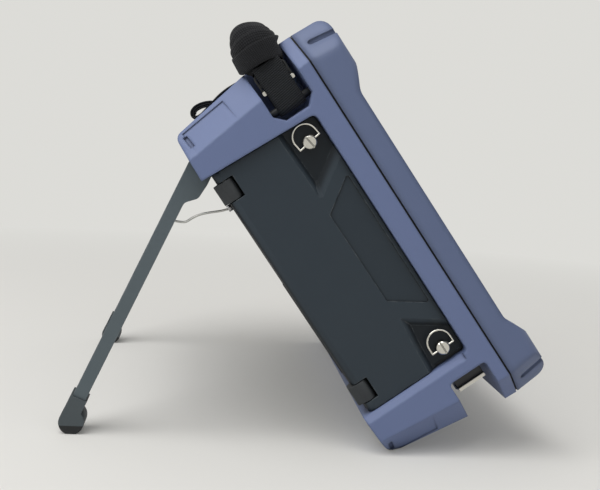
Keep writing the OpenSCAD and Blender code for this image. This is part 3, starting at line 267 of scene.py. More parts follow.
class EffectGroups:
    """Shared surface effects, each built once as a node group."""

    def __init__(self) -> None:
        """Starts with no group built."""
        self.built: dict[str, bpy.types.NodeTree] = {}

    def get(self, name: str) -> bpy.types.NodeTree:
        """Finds an effect's group, building it the first time.

        Args:
            name: Effect name, which is also the name of its method.

        Returns:
            The node group.
        """
        if name not in self.built:
            getattr(self, name)()
        return self.built[name]

    def open(self, name: str, inputs: dict[str, float],
             outputs: Sequence[str]) -> tuple[NodeSheet, dict[str, Socket], dict[str, Socket]]:
        """Makes an empty group with named sockets.

        Args:
            name: Group name.
            inputs: Input names with their usual values.
            outputs: Output names.

        Returns:
            The node sheet, the inputs by name and the outputs by name.
        """
        tree = bpy.data.node_groups.new(name, "ShaderNodeTree")
        self.built[name] = tree
        for label, value in inputs.items():
            socket = tree.interface.new_socket(label, in_out="INPUT", socket_type="NodeSocketFloat")
            socket.default_value = value
        for label in outputs:
            tree.interface.new_socket(label, in_out="OUTPUT", socket_type="NodeSocketFloat")
        sheet = NodeSheet(tree)
        entry = sheet.add("NodeGroupInput")
        leave = sheet.add("NodeGroupOutput")
        into = {s.name: s for s in entry.outputs if s.name}
        return sheet, into, {s.name: s for s in leave.inputs if s.name}

    def fine_grain(self) -> None:
        """Moulded or sprayed grain with a slow drift of shade."""
        sheet, into, out = self.open("fine_grain", {"Grain": 2600.0, "Drift": 14.0, "Depth": 0.06},
                                     ("Shade", "Height"))
        place = sheet.place()
        sheet.join(sheet.noise(place, into["Grain"], 4.0), out["Height"])
        slow = sheet.math("SUBTRACT", sheet.noise(place, into["Drift"], 5.0), 0.5)
        sheet.join(sheet.math("ADD", sheet.math("MULTIPLY", slow, into["Depth"]), 0.5), out["Shade"])

    def edge_wear(self) -> None:
        """Mask of the edges where handling has rubbed the surface; on the battery door, with a pale
        colour, it paints highlights along the edges.
        """
        sheet, into, out = self.open("edge_wear", {"Radius": 0.0008, "Amount": 0.5}, ("Mask",))
        bevel = sheet.add("ShaderNodeBevel", samples=4)
        sheet.join(into["Radius"], bevel.inputs["Radius"])
        normal = sheet.add("ShaderNodeNewGeometry").outputs["Normal"]
        dot = sheet.add("ShaderNodeVectorMath", operation="DOT_PRODUCT")
        sheet.join(bevel.outputs[0], dot.inputs[0])
        sheet.join(normal, dot.inputs[1])
        turn = sheet.remap(dot.outputs["Value"], 0.995, 0.86, 0.0, 1.0)
        broken = sheet.remap(sheet.noise(sheet.place(), 220.0, 5.0), 0.42, 0.66, 0.0, 1.0)
        rubbed = sheet.math("MULTIPLY", turn, broken)
        sheet.join(sheet.math("MULTIPLY", rubbed, into["Amount"]), out["Mask"])

    def dust(self) -> None:
        """Mask of fine dust on faces that look upwards."""
        sheet, into, out = self.open("dust", {"Amount": 0.1}, ("Mask",))
        normal = sheet.add("ShaderNodeNewGeometry").outputs["Normal"]
        up = sheet.remap(sheet.axis(normal, "Z"), 0.1, 1.0, 0.15, 1.0)
        patch = sheet.remap(sheet.noise(sheet.place(), 60.0, 8.0), 0.4, 0.72, 0.0, 1.0)
        settled = sheet.math("MULTIPLY", up, patch)
        sheet.join(sheet.math("MULTIPLY", settled, into["Amount"]), out["Mask"])

    def crevice(self) -> None:
        """Mask of slots and inner corners, for painted shade where little light reaches."""
        sheet, into, out = self.open("crevice", {"Reach": 0.002, "Amount": 0.8}, ("Mask",))
        shelter = sheet.add("ShaderNodeAmbientOcclusion", samples=8)
        sheet.join(into["Reach"], shelter.inputs["Distance"])
        closed = sheet.remap(shelter.outputs["AO"], 0.92, 0.35, 0.0, 1.0)
        sheet.join(sheet.math("MULTIPLY", closed, into["Amount"]), out["Mask"])

    def sunk(self) -> None:
        """Mask for painted shade that grows from the left side face's rim down to the floor of a
        recess.
        """
        sheet, into, out = self.open("sunk", {"Rim": -0.1406, "Floor": -0.1390}, ("Mask",))
        depth = sheet.add("ShaderNodeMapRange", interpolation_type="SMOOTHSTEP")
        sheet.join(sheet.axis(sheet.place(), "X"), depth.inputs["Value"])
        sheet.join(into["Rim"], depth.inputs["From Min"])
        sheet.join(into["Floor"], depth.inputs["From Max"])
        sheet.join(depth.outputs[0], out["Mask"])

    def weave(self) -> None:
        """Ribbed webbing: picks across the strap over lengthwise yarns, with its Shade output
        painting highlight on the crests and shade in the valleys.
        """
        sheet, into, out = self.open("weave", {"Pick": 0.0011, "Yarn": 0.0012, "Cord": 0.0},
                                     ("Shade", "Height"))
        run = sheet.add("ShaderNodeTexCoord").outputs["UV"]
        along = sheet.math("DIVIDE", sheet.axis(run, "X"), into["Pick"])
        across = sheet.math("DIVIDE", sheet.axis(run, "Y"), into["Yarn"])
        step = sheet.math("MULTIPLY", sheet.math("FLOOR", across), 0.16)
        turn = sheet.math("MULTIPLY", sheet.math("ADD", along, step), 2 * math.pi)
        pick = sheet.math("MULTIPLY", sheet.math("SINE", turn), 0.5)
        yarn = sheet.math("ABSOLUTE", sheet.math("SINE", sheet.math("MULTIPLY", across, math.pi)))
        crown = sheet.math("ADD", sheet.math("MULTIPLY", yarn, 0.35), 0.65)
        ribs = sheet.math("MULTIPLY", sheet.math("ADD", pick, 0.5), crown)
        cords = sheet.math("MULTIPLY", yarn, into["Cord"])
        rest = sheet.math("SUBTRACT", 1.0, into["Cord"])
        lift = sheet.math("ADD", sheet.math("MULTIPLY", ribs, rest), cords)
        sheet.join(lift, out["Height"])
        # Painted highlight and shade: Shade follows the rib height, lighter on crests and darker in
        # valleys, plus random fuzz.
        fuzz = sheet.math("MULTIPLY", sheet.noise(sheet.place(), 900.0, 4.0), 0.4)
        sheet.join(sheet.math("ADD", sheet.math("MULTIPLY", lift, 0.6), fuzz), out["Shade"])

    def brushed(self) -> None:
        """Fine drawn lines of machined or polished metal."""
        sheet, into, out = self.open("brushed", {"Lines": 900.0}, ("Streak", "Height"))
        stretch = sheet.add("ShaderNodeMapping")
        stretch.inputs["Scale"].default_value = (0.06, 1.0, 1.0)
        sheet.join(sheet.place(), stretch.inputs["Vector"])
        lines = sheet.noise(stretch.outputs[0], into["Lines"], 6.0)
        sheet.join(lines, out["Height"])
        sheet.join(lines, out["Streak"])


EFFECTS = EffectGroups()


def tone(colour: Colour, share: float) -> Colour:
    """Darkens or lightens a colour."""
    return tuple(min(c * share, 1.0) for c in colour)


@dataclass(frozen=True)
class Finish:
    """A named finish that builds one material."""

    name: str
    colour: Colour

    def start(self) -> tuple[bpy.types.Material, NodeSheet, bpy.types.Node]:
        """Opens an empty material with its surface shader.

        Returns:
            The material, its node sheet and the Principled shader.
        """
        material = bpy.data.materials.new(self.name)
        material.use_nodes = True
        material.diffuse_color = (*self.colour, 1.0)
        shader = material.node_tree.nodes["Principled BSDF"]
        return material, NodeSheet(material.node_tree), shader

    def effect(self, sheet: NodeSheet, name: str, **values: float) -> dict[str, Socket]:
        """Places a shared effect with this finish's own values.

        Args:
            sheet: Node sheet of the material.
            name: Effect name.
            values: Input values, by name with capitals left small.

        Returns:
            The effect's outputs by name.
        """
        node = sheet.add("ShaderNodeGroup")
        node.node_tree = EFFECTS.get(name)
        for label, value in values.items():
            node.inputs[label.capitalize()].default_value = value
        return {s.name: s for s in node.outputs}

    def bump(self, sheet: NodeSheet, shader: bpy.types.Node, height: Socket, depth: float,
             strength: float) -> bpy.types.Node:
        """Feeds a height into the shader's normal.

        Args:
            sheet: Node sheet of the material.
            shader: Principled shader.
            height: Height from 0 to 1.
            depth: Depth in metres.
            strength: Share of the effect.

        Returns:
            The bump node.
        """
        node = sheet.add("ShaderNodeBump")
        node.inputs["Strength"].default_value = strength
        node.inputs["Distance"].default_value = depth
        sheet.join(height, node.inputs["Height"])
        sheet.join(node.outputs[0], shader.inputs["Normal"])
        return node

    def build(self) -> bpy.types.Material:
        """Builds the material; each kind of finish has its own."""
        raise NotImplementedError


@dataclass(frozen=True)
class Coated(Finish):
    """Moulded plastic, rubber or powder coat: grain, rubbed edges and dust, with painted shade in
    slots, inner corners and recesses, and on the battery door painted highlights along its edges.
    """

    worn_and_highlit: Colour = (0.2, 0.2, 0.2)
    shade: Pair = (0.84, 1.16)
    rough: float = 0.55
    rough_play: float = 0.07
    grain: float = 2600.0
    grain_depth: float = 0.00004
    grain_share: float = 0.5
    drift: float = 0.35
    wear: float = 0.4
    dusty: float = 0.06
    specular: float = 0.4
    soft_edge: float = 0.0004
    recess_shade: Colour | None = None
    crevice_shade: float = 0.7
    crevice_shade_reach: float = 0.003
    crevice_shade_tone: float = 0.22
    sole: float | None = None
    sole_edge: float = 0.0002

    def sole_mask(self, sheet: NodeSheet) -> Socket:
        """Mask of the black sole under a shoe that stands on the floor."""
        height = sheet.axis(sheet.place(), "Z")
        return sheet.remap(height, self.sole - self.sole_edge, self.sole + self.sole_edge, 1.0, 0.0)

    def build(self) -> bpy.types.Material:
        """Builds the coated surface.

        Returns:
            The material.
        """
        material, sheet, shader = self.start()
        grain = self.effect(sheet, "fine_grain", grain=self.grain, depth=self.drift)
        wear = self.effect(sheet, "edge_wear", amount=self.wear)
        dust = self.effect(sheet, "dust", amount=self.dusty)
        body = sheet.blend(grain["Shade"], *(tone(self.colour, share) for share in self.shade))
        # Painted shade: the floors of the door's recesses darken to the recess colour.
        if self.recess_shade is not None:
            body = sheet.blend(self.effect(sheet, "sunk")["Mask"], body, self.recess_shade)
        if self.sole is not None:
            body = sheet.blend(self.sole_mask(sheet), body, SOLE_BLACK)
        # Painted shade: slots and inner corners darken towards a dark copy of the colour.
        slots = self.effect(sheet, "crevice", reach=self.crevice_shade_reach, amount=self.crevice_shade)
        # On the battery door the pale edge colour paints highlights along the edges as well as wear.
        rubbed = sheet.blend(wear["Mask"], body, self.worn_and_highlit)
        dusted = sheet.blend(dust["Mask"], rubbed, DUST_GREY)
        sheet.join(sheet.blend(slots["Mask"], dusted, tone(self.colour, self.crevice_shade_tone)),
                   shader.inputs["Base Color"])
        play = (self.rough - self.rough_play, self.rough + self.rough_play)
        sheet.join(sheet.remap(grain["Height"], *GRAIN_SPAN, *play), shader.inputs["Roughness"])
        shader.inputs["Specular IOR Level"].default_value = self.specular
        rounded = sheet.add("ShaderNodeBevel", samples=6)
        rounded.inputs["Radius"].default_value = self.soft_edge
        bump = self.bump(sheet, shader, grain["Height"], self.grain_depth, self.grain_share)
        sheet.join(rounded.outputs[0], bump.inputs["Normal"])
        return material


@dataclass(frozen=True)
class BareMetal(Finish):
    """Plated or ground metal with fine lines and painted shade in its hollows."""

    shade: Pair = (0.78, 1.25)
    rough: float = 0.25
    rough_play: Pair = (-0.06, 0.08)
    lines: float = 900.0
    line_span: Pair = (0.3, 0.7)
    line_depth: float = 0.00001
    line_share: float = 0.3
    rubbed_r: float = 0.0004
    wear: float = 0.6
    crevice_shade_reach: float = 0.0012

    def build(self) -> bpy.types.Material:
        """Builds the metal surface.

        Returns:
            The material.
        """
        material, sheet, shader = self.start()
        lines = self.effect(sheet, "brushed", lines=self.lines)
        wear = self.effect(sheet, "edge_wear", radius=self.rubbed_r, amount=self.wear)
        dull, bright = (tone(self.colour, share) for share in self.shade)
        crevice_shade = self.effect(sheet, "crevice", reach=self.crevice_shade_reach)
        body = sheet.blend(lines["Streak"], dull, self.colour)
        rubbed = sheet.blend(wear["Mask"], body, bright)
        # Painted shade: hollows darken towards near black.
        sheet.join(sheet.blend(crevice_shade["Mask"], rubbed, METAL_HOLLOW_SHADE), shader.inputs["Base Color"])
        play = (self.rough + step for step in self.rough_play)
        sheet.join(sheet.remap(lines["Streak"], *self.line_span, *play), shader.inputs["Roughness"])
        shader.inputs["Metallic"].default_value = 1.0
        self.bump(sheet, shader, lines["Height"], self.line_depth, self.line_share)
        return material


@dataclass(frozen=True)
class HemmedSheet(Finish):
    """Sheet metal whose black coat paints the shaded inside of the connector bay, above a lower hem
    left bare.
    """

    bare: Colour = (0.62, 0.60, 0.55)
    hem_z: float = 21.9
    hem_edge: float = 0.0001
    rough: Pair = (0.3, 0.42)

    def build(self) -> bpy.types.Material:
        """Builds the sheet with its bare hem.

        Returns:
            The material.
        """
        material, sheet, shader = self.start()
        up = CASE_AXES.direction(0.0, 0.0, 1.0)
        level = CASE_AXES.point(0.0, 0.0, self.hem_z).dot(up)
        height = sheet.add("ShaderNodeVectorMath", operation="DOT_PRODUCT")
        sheet.join(sheet.place(), height.inputs[0])
        height.inputs[1].default_value = up
        limits = (level - self.hem_edge, level + self.hem_edge)
        hem = sheet.remap(height.outputs["Value"], *limits, 1.0, 0.0)
        sheet.join(sheet.blend(hem, self.colour, self.bare), shader.inputs["Base Color"])
        sheet.join(hem, shader.inputs["Metallic"])
        grain = self.effect(sheet, "fine_grain", depth=0.3)
        dull = sheet.remap(grain["Height"], *GRAIN_SPAN, *self.rough)
        sheet.join(dull, shader.inputs["Roughness"])
        return material


@dataclass(frozen=True)
class Woven(Finish):
    """Ribbed webbing with a soft sheen, painted highlight on its rib crests and painted shade in its
    rib valleys and between plies.
    """

    shade: Pair = (0.4, 1.6)
    rough: Pair = (0.95, 0.75)
    sheen: Pair = (0.06, 0.5)
    specular: float = 0.2
    pick: float = 0.0010
    yarn: float = 0.0012
    cord: float = 0.0
    rib_depth: float = 0.0003
    gap_shade_reach: float = 0.0030
    lint: float = 0.05

    def build(self) -> bpy.types.Material:
        """Builds the webbing.

        Returns:
            The material.
        """
        material, sheet, shader = self.start()
        weave = self.effect(sheet, "weave", pick=self.pick, yarn=self.yarn, cord=self.cord)
        gap_shade = self.effect(sheet, "crevice", reach=self.gap_shade_reach, amount=1.0)
        dust = self.effect(sheet, "dust", amount=self.lint)
        # Painted highlight and shade on the ribs: the weave's Shade spreads the colour from a dark
        # to a light copy.
        cloth = sheet.blend(weave["Shade"], *(tone(self.colour, share) for share in self.shade))
        cloth = sheet.blend(dust["Mask"], cloth, LINT_GREY)
        # Painted shade: the spaces between plies and wound bands darken to near black.
        sheet.join(sheet.blend(gap_shade["Mask"], cloth, GAP_SHADE), shader.inputs["Base Color"])
        sheet.join(sheet.remap(weave["Shade"], 0.2, 0.8, *self.rough), shader.inputs["Roughness"])
        shader.inputs["Sheen Weight"].default_value = self.sheen[0]
        shader.inputs["Sheen Roughness"].default_value = self.sheen[1]
        shader.inputs["Specular IOR Level"].default_value = self.specular
        self.bump(sheet, shader, weave["Height"], self.rib_depth, 1.0)
        return material


@dataclass(frozen=True)
class WindowGlass(Finish):
    """Tinted display window."""

    shade: Pair = (0.9, 1.1)
    rough: Pair = (0.04, 0.09)
    clear: float = 0.6
    ior: float = 1.5

    def build(self) -> bpy.types.Material:
        """Builds the tinted glass.

        Returns:
            The material.
        """
        material, sheet, shader = self.start()
        grain = self.effect(sheet, "fine_grain", grain=300.0, depth=0.3)
        tint = sheet.blend(grain["Shade"], *(tone(self.colour, share) for share in self.shade))
        sheet.join(tint, shader.inputs["Base Color"])
        sheet.join(sheet.remap(grain["Height"], 0.3, 0.7, *self.rough), shader.inputs["Roughness"])
        shader.inputs["Transmission Weight"].default_value = self.clear
        shader.inputs["IOR"].default_value = self.ior
        return material


@dataclass(frozen=True)
class CircuitBoard(Finish):
    """Varnished board with buried tracks."""

    cells: float = 160.0
    track_edge: Pair = (0.02, 0.06)
    track_tone: float = 1.8
    track_depth: float = 0.00003
    rough: Pair = (0.35, 0.25)

    def build(self) -> bpy.types.Material:
        """Builds the board surface.

        Returns:
            The material.
        """
        material, sheet, shader = self.start()
        cells = sheet.add("ShaderNodeTexVoronoi", distance="MANHATTAN", feature="DISTANCE_TO_EDGE")
        cells.inputs["Scale"].default_value = self.cells
        sheet.join(sheet.place(), cells.inputs["Vector"])
        track = sheet.remap(cells.outputs["Distance"], *self.track_edge, 1.0, 0.0)
        copper = tone(self.colour, self.track_tone)
        sheet.join(sheet.blend(track, self.colour, copper), shader.inputs["Base Color"])
        sheet.join(sheet.remap(track, 0.0, 1.0, *self.rough), shader.inputs["Roughness"])
        self.bump(sheet, shader, track, self.track_depth, 0.5)
        return material


@dataclass(frozen=True)
class StudioFloor(Finish):
    """Pale floor that fades into the background away from the object; near it a small share of the
    background emission, seen only by camera, mirror and glass rays, paints light into the object's
    shadow.
    """

    shadow_lift_glow: float = 0.16
    fade: Pair = (0.25, 0.95)
    dark: float = 0.96
    rough: float = 0.9
    specular: float = 0.1

    def build(self) -> bpy.types.Material:
        """Builds the floor.

        Returns:
            The material.
        """
        material, sheet, shader = self.start()
        span = sheet.add("ShaderNodeVectorMath", operation="LENGTH")
        sheet.join(sheet.place(), span.inputs[0])
        # Painted light: even beside the object a share of emission lightens the object's shadow on
        # the floor.
        away = sheet.remap(span.outputs["Value"], *self.fade, self.shadow_lift_glow, 1.0)
        shadow_lift_glow = sheet.add("ShaderNodeEmission")
        shadow_lift_glow.inputs["Color"].default_value = (*BACKGROUND, 1.0)
        mix = sheet.add("ShaderNodeMixShader")
        sheet.join(sheet.math("MULTIPLY", away, sheet.in_view()), mix.inputs[0])
        sheet.join(shader.outputs[0], mix.inputs[1])
        sheet.join(shadow_lift_glow.outputs[0], mix.inputs[2])
        sheet.join(mix.outputs[0], sheet.tree.nodes["Material Output"].inputs["Surface"])
        soft = self.effect(sheet, "fine_grain", grain=120.0, drift=3.0, depth=0.5)
        pale = sheet.blend(soft["Shade"], tone(self.colour, self.dark), self.colour)
        sheet.join(pale, shader.inputs["Base Color"])
        shader.inputs["Roughness"].default_value = self.rough
        shader.inputs["Specular IOR Level"].default_value = self.specular
        return material


class Palette:
    """All finishes of the instrument, each material built once."""

    shell = Coated("shell_blue", (0.128, 0.167, 0.308), worn_and_highlit=(0.22, 0.27, 0.41), rough=0.5,
                   wear=0.3, dusty=0.03, soft_edge=0.0020)
    bumper = Coated("bumper_blue", (0.106, 0.138, 0.246), worn_and_highlit=(0.22, 0.27, 0.41), rough=0.5,
                    wear=0.2, dusty=0.03, soft_edge=0.0060)
    seal = Coated("seal_rubber", (0.012, 0.013, 0.014), worn_and_highlit=(0.04, 0.04, 0.04), rough=0.75,
                  dusty=0.05)
    housing = Coated("housing_dark", (0.026, 0.030, 0.034), worn_and_highlit=(0.08, 0.085, 0.09), rough=0.52,
                     dusty=0.03)
    # Door: its pale edge colour paints highlights along edges, its strong crevice darkening paints
    # shade along the relief, and its recess colour paints shade on the recess floors.
    door = Coated("door_slate", (0.0275, 0.0385, 0.0500), worn_and_highlit=(0.15, 0.17, 0.18), rough=0.40,
                  wear=0.8, dusty=0.02, specular=0.25, soft_edge=0.0006,
                  recess_shade=(0.0045, 0.008, 0.012), crevice_shade=1.0, crevice_shade_reach=0.004)
    shoe = Coated("stand_shoe", (0.060, 0.074, 0.082), worn_and_highlit=(0.12, 0.13, 0.14), rough=0.62,
                  dusty=0.05, sole=0.0042)
    stand = Coated("stand_paint", (0.084, 0.108, 0.122), worn_and_highlit=(0.3, 0.31, 0.32), rough=0.46,
                   grain=1500.0, grain_depth=0.00006, wear=0.6, dusty=0.04)
    battery = Coated("battery_black", (0.014, 0.015, 0.017), worn_and_highlit=(0.06, 0.06, 0.06), rough=0.5)
    panel = Coated("panel_black", (0.019, 0.021, 0.024), worn_and_highlit=(0.07, 0.07, 0.075), rough=0.42)
    keys = Coated("key_rubber", (0.042, 0.050, 0.060), worn_and_highlit=(0.1, 0.11, 0.12), rough=0.68)
    fan = Coated("fan_black", (0.012, 0.013, 0.014), worn_and_highlit=(0.05, 0.05, 0.05), rough=0.5)
    screws = BareMetal("steel_screws", (0.42, 0.42, 0.43), rough=0.32)
    pins = BareMetal("pin_steel", (0.45, 0.45, 0.46), rough=0.26)
    nickel = BareMetal("nickel", (0.72, 0.70, 0.64), rough=0.14)
    brass = BareMetal("brass_parts", (0.62, 0.50, 0.24), rough=0.28)
    stay = BareMetal("stay_steel", (0.52, 0.52, 0.50), rough=0.3, lines=2500.0)
    plated = BareMetal("plated_metal", (0.50, 0.51, 0.52), rough=0.34)
    port = BareMetal("port_metal", (0.62, 0.60, 0.55), rough=0.24)
    strap_black = Coated("strap_black", (0.014, 0.015, 0.016), worn_and_highlit=(0.1, 0.1, 0.1), rough=0.45,
                         wear=0.5)
    # Painted shade: the black plate stands in for the shade inside the connector bay, over a bare
    # hem.
    guard = HemmedSheet("guard_shade_plate", (0.010, 0.011, 0.013))
    webbing = Woven("webbing", (0.0155, 0.0172, 0.0195))
    # Painted shade: the wound roll takes a darker copy of the webbing colour to offset the stronger
    # light on its top.
    wound = Woven("webbing_wound_shaded", (0.0115, 0.0122, 0.0142), cord=0.25)
    window = WindowGlass("window", (0.03, 0.035, 0.04))
    board = CircuitBoard("board_green", (0.03, 0.10, 0.045))
    floor = StudioFloor("studio_floor", (0.76, 0.75, 0.72))

    def __init__(self) -> None:
        """Starts with no material built."""
        self.made: dict[str, bpy.types.Material] = {}

    def material(self, finish: Finish) -> bpy.types.Material:
        """Finds a finish's material, building it the first time.

        Args:
            finish: The finish.

        Returns:
            Its material.
        """
        if finish.name not in self.made:
            self.made[finish.name] = finish.build()
        return self.made[finish.name]


PALETTE = Palette()


def dress(node: str, finish: Finish, edge: Edge | None = Edge.PANEL) -> None:
    """Gives a CAD piece its finish and rounds its sharp edges.

    Args:
        node: Name of the CAD piece.
        finish: Its finish.
        edge: Edge rounding, or None for none.
    """
    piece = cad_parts[node]
    piece.data.materials.clear()
    piece.data.materials.append(PALETTE.material(finish))
    if edge is not None:
        weld = piece.modifiers.new("join_corners", "WELD")
        weld.merge_threshold = WELD_GAP
        bevel = piece.modifiers.new("soften_edges", "BEVEL")
        bevel.width = edge.value * MM
        bevel.segments = ROUND_STEPS
        bevel.limit_method = "ANGLE"
        bevel.angle_limit = SHARP_ANGLE
        bevel.use_clamp_overlap = True
        bevel.harden_normals = True
    LOG.info("dressed %s in %s", node, finish.name)


def new_piece(name: str, mesh: bpy.types.Mesh, finish: Finish) -> bpy.types.Object:
    """Links a new mesh piece with its finish.

    Args:
        name: Piece name.
        mesh: Its mesh, in the shared frame.
        finish: Its finish.

    Returns:
        The new object.
    """
    piece = bpy.data.objects.new(name, mesh)
    bpy.context.scene.collection.objects.link(piece)
    mesh.materials.append(PALETTE.material(finish))
    mesh.polygons.foreach_set("use_smooth", [True] * len(mesh.polygons))
    LOG.info("built %s", name)
    return piece


def smooth_route(points: Sequence[Vector], per_span: int) -> list[Vector]:
    """Runs a smooth curve through points.

    Args:
        points: Points of the route, in order.
        per_span: Steps between two points.

    Returns:
        Points along the curve.
    """
    route: list[Vector] = []
    for i in range(len(points) - 1):
        p0, p1 = points[max(i - 1, 0)], points[i]
        p2, p3 = points[i + 1], points[min(i + 2, len(points) - 1)]
        for k in range(per_span):
            t = k / per_span
            bend = (2 * p0 - 5 * p1 + 4 * p2 - p3) * t * t
            route.append(0.5 * (2 * p1 + (p2 - p0) * t + bend
                                + (3 * p1 - p0 - 3 * p2 + p3) * t ** 3))
    route.append(points[-1].copy())
    return route


def heading(route: Sequence[Vector], i: int) -> Vector:
    """Direction of a route at one of its points."""
    return (route[min(i + 1, len(route) - 1)] - route[max(i - 1, 0)]).normalized()


def lengths(route: Sequence[Vector]) -> list[float]:
    """Length of a route up to each of its points."""
    return list(accumulate(((b - a).length for a, b in zip(route, route[1:])), initial=0.0))


def ease(value: float, start: float, span: float) -> float:
    """Grows smoothly from 0 to 1 over a span."""
    share = min(max((value - start) / span, 0.0), 1.0)
    return share * share * (3 - 2 * share)


def loft(name: str, rings: Sequence[Sequence[Vector]], runs: Sequence[float] = (),
         widths: Sequence[float] = ()) -> bpy.types.Mesh:
    """Skins a row of rings and closes both ends.

    Args:
        name: Mesh name.
        rings: Points of each ring, millimetres in the case's frame.
        runs: Length along the piece at each ring, or nothing for no coordinates.
        widths: Place across the piece of each point of a ring.

    Returns:
        The mesh in the shared frame.
    """
    bm = bmesh.new()
    uv = bm.loops.layers.uv.new("lengthwise") if runs else None
    made = [[bm.verts.new(CASE_AXES.point(*place)) for place in ring] for ring in rings]
    count = len(made[0])
    for i in range(len(made) - 1):
        for k in range(count):
            j = (k + 1) % count
            corners = ((i, k), (i, j), (i + 1, j), (i + 1, k))
            face = bm.faces.new([made[a][b] for a, b in corners])
            if uv is not None:
                for loop, (a, b) in zip(face.loops, corners):
                    loop[uv].uv = (runs[a] * MM, widths[b] * MM)
    for ring in (made[0], made[-1]):
        bm.faces.new(ring)
    bmesh.ops.recalc_face_normals(bm, faces=bm.faces)
    return close(bm, name)


def close(bm: bmesh.types.BMesh, name: str) -> bpy.types.Mesh:
    """Turns an edited mesh into a named one.

    Args:
        bm: Edited mesh, which is freed.
        name: Name of the mesh.

    Returns:
        The mesh.
    """
    mesh = bpy.data.meshes.new(name)
    bm.to_mesh(mesh)
    bm.free()
    return mesh


@dataclass(frozen=True)
class Ribbon:
    """A length of webbing: a thick strip with rounded edges and lengthwise coordinates."""

    width: float
    thickness: float
    across: int = 8
    edge_drop: float = 0.55

    def section(self) -> list[Pair]:
        """Works out the cross-section, crowned on both faces.

        Returns:
            Places across the width and through the thickness, round the strip.
        """
        half, t = self.width / 2, self.thickness / 2
        steps = [-1 + 2 * k / self.across for k in range(self.across + 1)]
        crown = [(s * half, t * (1 - self.edge_drop * abs(s) ** EDGE_POWER)) for s in steps]
        return crown + [(w, -h) for w, h in reversed(crown)]

    def mesh(self, name: str, route: Sequence[Vector], across: Vector) -> bpy.types.Mesh:
        """Sweeps the section along a route.

        Args:
            name: Mesh name.
            route: Middle of the strip, millimetres in the case's frame.
            across: Direction across the strip.

        Returns:
            The mesh in the shared frame.
        """
        section = self.section()
        rings = []
        for i, place in enumerate(route):
            ahead = heading(route, i)
            side = (across - ahead * across.dot(ahead)).normalized()
            out = side.cross(ahead)
            rings.append([place + side * w + out * h for w, h in section])
        return loft(name, rings, lengths(route), [w + self.width / 2 for w, _ in section])


